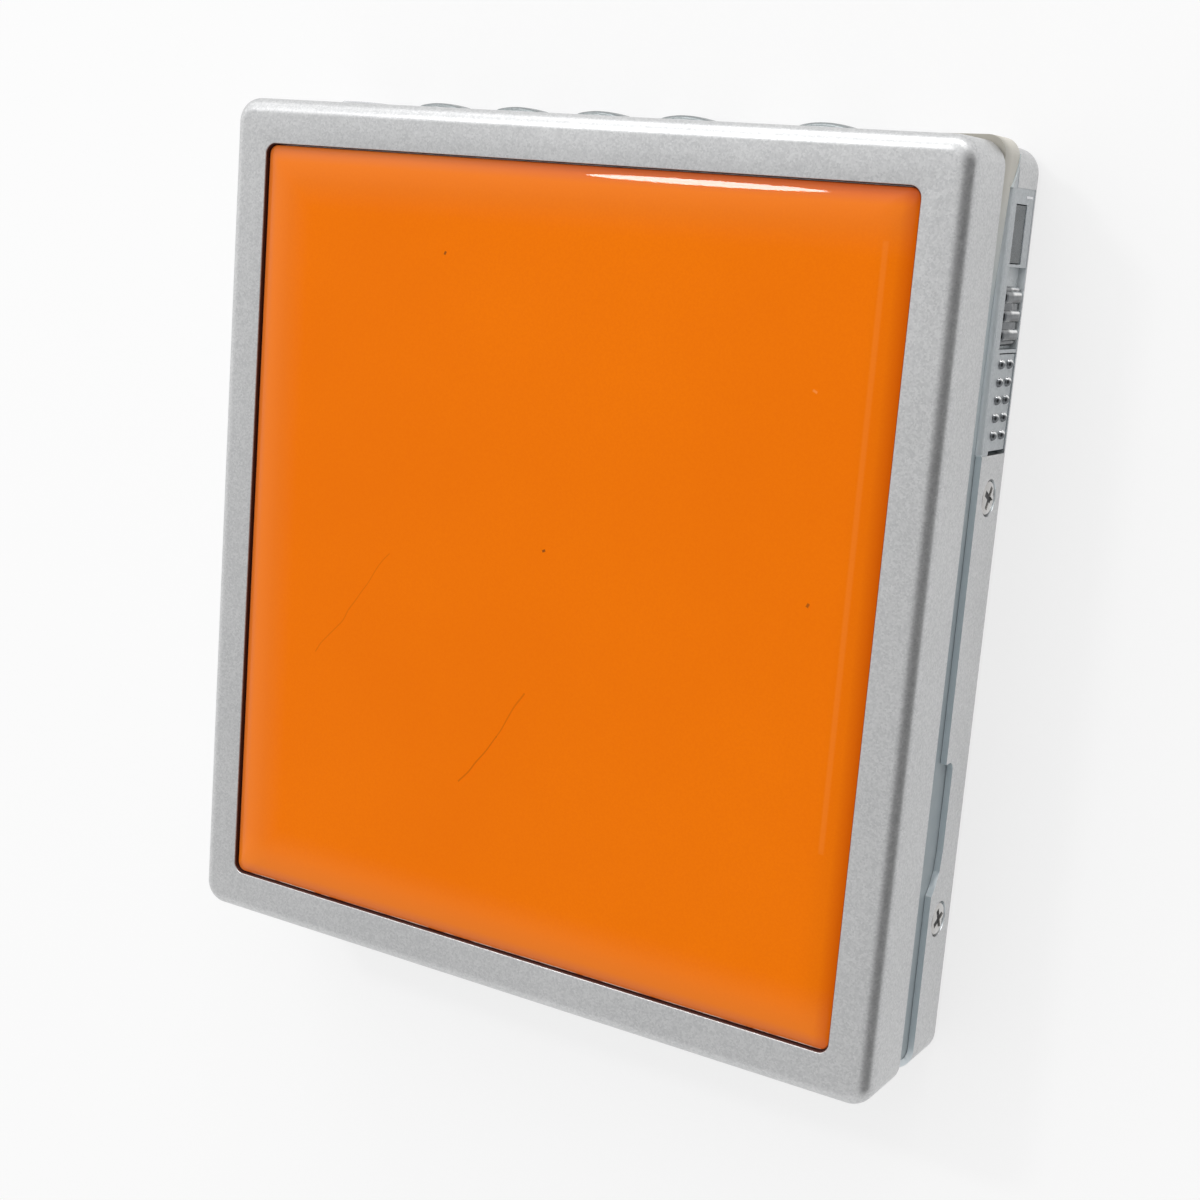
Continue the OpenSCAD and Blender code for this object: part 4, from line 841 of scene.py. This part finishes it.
def lead_screw():
    """Screw with a spiral groove and two plain ends."""
    low, high = span("lead_screw")
    r, pitch, depth, sides, step = (high.x - low.x) / 2, 2.0, 0.1, 24, 0.16
    plain_start, plain_end = 1.2, 8.0
    length = high.y - low.y
    rings = []
    for i in range(int(length / step) + 1):
        s = min(i * step, length)
        plain = s < plain_start or s > length - plain_end
        loop = []
        for j in range(sides):
            a = 2 * math.pi * j / sides
            groove = 0.0 if plain else max(0.0, math.cos(a - 2 * math.pi * s / pitch)) ** 2
            q = r - depth * groove
            loop.append((q * math.cos(a), q * math.sin(a), s))
        rings.append(loop)
    at = ((low.x + high.x) / 2, low.y, (low.z + high.z) / 2)
    whole = put(loft(rings, caps=True), at, "+y")
    piece("lead_screw_thread", whole, "lead_screw", "spring_steel", ["lead_screw"], angle=60)


spring("lid_spring", "+y", 0.17, 6)
spring("open_lever_spring", "+x", 0.14, 5)
lead_screw()


# Details inside

def chip_legs():
    """Legs on the sides of the chips; the small ones have them on their long sides alone."""
    pitch, margin, stand, leg_w, leg_l, leg_t = 0.65, 0.8, 0.2, 0.26, 0.5, 0.14
    legs = []
    for node in ("signal_processor", "small_ics"):
        for low, high in islands(node):
            mid, size = (low + high) / 2, high - low
            for along, out in ((0, 1), (1, 0)):
                if node == "small_ics" and size[along] < max(size.x, size.y) - 0.01:
                    continue
                plan = (leg_w, leg_l) if along == 0 else (leg_l, leg_w)
                leg = slab(*plan, 0.04, leg_t, 0.03, n=2)
                count = int((size[along] - margin) / pitch)
                for i in range(count):
                    for side in (-1, 1):
                        at = [mid.x, mid.y, low.z]
                        at[along] += (i - (count - 1) / 2) * pitch
                        at[out] += side * (size[out] / 2 + stand)
                        legs.append(put(leg, at))
    piece("chip_legs", joined(*legs), "case", "plain_steel")


def turntable_rim():
    """Rubber ring on the turntable's brim."""
    low, high = span("turntable")
    mid = (low + high) / 2
    r = (high.x - low.x) / 2
    inner, outer, rise = r - 0.75, r - 0.06, 0.22
    rim = ring([(inner, 0.0), (inner, 0.14), (r - 0.6, rise), (r - 0.2, rise), (outer, 0.12), (outer, 0.0)])
    top = max(v.co.z for v in NODES["turntable"].data.vertices
              if math.hypot(v.co.x / MM - mid.x, v.co.y / MM - mid.y) > r - 0.5) / MM
    piece("turntable_rim", put(rim, (mid.x, mid.y, top)), "turntable", "rubber", angle=40)


def pickup_lens():
    """The pickup's lens and the dark ring round it."""
    low, high = span("objective_lens")
    mid = (low + high) / 2
    r, outer, root, rise, lens_rise = 1.7, 2.35, -0.1, 0.2, 0.16
    bezel = ring([(r, root), (r, 0.12), (r + 0.12, rise), (r + 0.5, rise), (outer, 0.1), (outer, root)])
    lens = lathe([(r, root)] + dome(r, 0.0, lens_rise, 0))
    at = (mid.x, mid.y, high.z - 0.12)
    piece("lens_bezel", put(bezel, at), "sled", "black_plastic", angle=40)
    piece("lens_dome", put(lens, at), "sled", "lens_clear", angle=60)


def jack_ring():
    """Bright ring round the mouth of the headphone socket, whose axis is the mount's."""
    socket = next(mount for mount in RECORD["mounts"] if mount["name"] == "headphone_socket")["pos_m"]
    at = (socket[0] / MM, span("headphone_jack")[1].y - 0.06, socket[2] / MM)
    bore, outer, root, rise = 1.86, 2.53, -0.55, 0.16
    face = ring([(bore, root), (bore, 0.1), (1.94, rise), (2.4, rise), (outer, 0.06), (outer, root)], 48)
    piece("jack_ring", put(face, at, "+y"), "case", "knob_chrome", angle=40, look="dot_chrome")


chip_legs()
turntable_rim()
pickup_lens()
jack_ring()

# Width in millimetres of the rounded edges on the CAD nodes that are shown as built
SHOWN_AS_BUILT = {
    "rear_shell": 0.05, "mid_frame": 0.06, "control_panel": 0.02, "side_window": 0.08, "open_lever": 0.08,
    "battery_door": 0.1, "cartridge_holder": 0.08, "mechanism_deck": 0.1, "lid_hinge_arms": 0.08,
    "lid_catch": 0.08, "cartridge_detent_springs": 0.05, "panel_stiffener": 0.08, "hinge_pin": 0.1,
    "open_lever_pin": 0.06, "hold_switch": 0.1, "headphone_jack": 0.1, "main_board": 0.06,
    "signal_processor": 0.12, "small_ics": 0.1, "capacitors": 0.15, "key_switches": 0.1,
    "deck_dampers": 0.2, "spindle_motor": 0.2, "turntable": 0.12, "clamp_magnet": 0.05, "pickup_sled": 0.15,
    "objective_lens": 0.08, "main_guide_shaft": 0.1, "sub_guide_shaft": 0.1, "sled_motor": 0.2,
    "sled_rotor": 0.1, "screw_bearing": 0.1, "battery_cell": 0.1, "battery_contact": 0.06,
    "door_contact": 0.06, "battery_door_pin": 0.05,
}
for node, width in SHOWN_AS_BUILT.items():
    soften(node, width)


# Stage: floor, light and camera

def floor():
    """White floor that keeps the shadow and can be looked through from below."""
    half, drop, white, glow = 4.0, 0.0002, (0.93, 0.93, 0.93, 1), 0.7
    mesh = bpy.data.meshes.new("floor")
    corners = [(-half, -half, 0), (half, -half, 0), (half, half, 0), (-half, half, 0)]
    mesh.from_pydata(corners, [], [(0, 1, 2, 3)])
    made = bpy.data.objects.new("floor", mesh)
    made.location.z = -drop
    SCENE.collection.objects.link(made)
    mat = bpy.data.materials.new("floor")
    mat.use_nodes = True
    tree = mat.node_tree
    tree.nodes.clear()
    path = add_node(tree, "LightPath").outputs
    seen = path["Is Camera Ray"]
    for kind in ("Is Glossy Ray", "Is Transmission Ray"):
        seen = add_node(tree, "Math", {0: seen, 1: path[kind]}, operation="MAXIMUM").outputs[0]
    share = add_node(tree, "Math", {0: seen, 1: glow}, operation="MULTIPLY").outputs[0]
    diffuse = add_node(tree, "BsdfDiffuse", {"Color": white}).outputs[0]
    light = add_node(tree, "Emission", {"Strength": 1.0}).outputs[0]
    above = add_node(tree, "MixShader", {0: share, 1: diffuse, 2: light}).outputs[0]
    below = add_node(tree, "BsdfTransparent").outputs[0]
    under = add_node(tree, "NewGeometry").outputs["Backfacing"]
    shader = add_node(tree, "MixShader", {0: under, 1: above, 2: below}).outputs[0]
    add_node(tree, "OutputMaterial", {0: shader})
    mesh.materials.append(mat)


def world():
    """Soft room light from all round, with a darker part where the viewer stands."""
    made = bpy.data.worlds.new("studio")
    SCENE.world = made
    made.use_nodes = True
    tree = made.node_tree
    back = tree.nodes["Background"]
    back.inputs["Color"].default_value = (1, 1, 1, 1)
    place = add_node(tree, "TexCoord").outputs["Generated"]

    def spread(toward, a, b, low, high):
        """Light that goes from low to high as the direction nears a given one, between two cosines."""
        links = {0: place, 1: Vector(toward).normalized()}
        near = add_node(tree, "VectorMath", links, operation="DOT_PRODUCT").outputs["Value"]
        links = {"Value": near, "From Min": a, "From Max": b, "To Min": low, "To Max": high}
        return add_node(tree, "MapRange", links, interpolation_type="SMOOTHSTEP").outputs[0]

    level = spread((-0.45, 0.85, 0.15), 0.2, 0.95, 1.0, 1.5)
    viewer = spread((0.84, -0.10, 0.53), 0.50, 0.94, 1.0, 0.14)
    sky = spread((-0.49, -0.19, 0.85), 0.55, 0.97, 1.0, 0.72)
    for part in (viewer, sky):
        level = add_node(tree, "Math", {0: level, 1: part}, operation="MULTIPLY").outputs[0]
    tree.links.new(level, back.inputs["Strength"])


def lamp(name, place, aim, size, radiance):
    """An oval lamp whose long side stays level with X, by its brightness."""
    data = bpy.data.lights.new(name, "AREA")
    data.shape = "ELLIPSE"
    data.size, data.size_y = size
    data.energy = radiance * math.pi * size[0] * size[1] * math.pi / 4
    made = bpy.data.objects.new(name, data)
    z = (Vector(place) - Vector(aim)).normalized()
    y = z.cross(Vector((1, 0, 0))).normalized()
    turn = Matrix((y.cross(z), y, z)).transposed()
    made.matrix_world = Matrix.Translation(place) @ turn.to_4x4()
    SCENE.collection.objects.link(made)


# Lamps: name, place, point aimed at and size in metres, brightness
LAMPS = (
    ("strip", (-0.2955, 0.324, 0.526), (0.016, 0.033, 0.015), (0.106, 0.056), 42.0),
    ("edge", (-0.20, 0.75, 0.22), (0.0, 0.039, 0.013), (0.45, 0.20), 4.0),
    ("corner", (0.15, 0.75, 0.24), (0.034, 0.037, 0.013), (0.16, 0.16), 9.0),
)


def camera():
    """The photograph's view: place in millimetres, direction and up, from the fit of the lid's corners."""
    place = Vector((87.968, 30.955, 154.404)) * MM
    look = Vector((-0.49353, -0.19510, -0.84756)).normalized()
    upward = Vector((-0.16762, 0.97758, -0.12743))
    data = bpy.data.cameras.new("camera")
    data.sensor_width = 36.0
    data.lens = 57.91
    data.clip_start, data.clip_end = 0.005, 20.0
    made = bpy.data.objects.new("camera", data)
    right = look.cross(upward).normalized()
    turn = Matrix((right, right.cross(look), -look)).transposed()
    made.matrix_world = Matrix.Translation(place) @ turn.to_4x4()
    SCENE.collection.objects.link(made)
    SCENE.camera = made


floor()
world()
for row in LAMPS:
    lamp(*row)
camera()
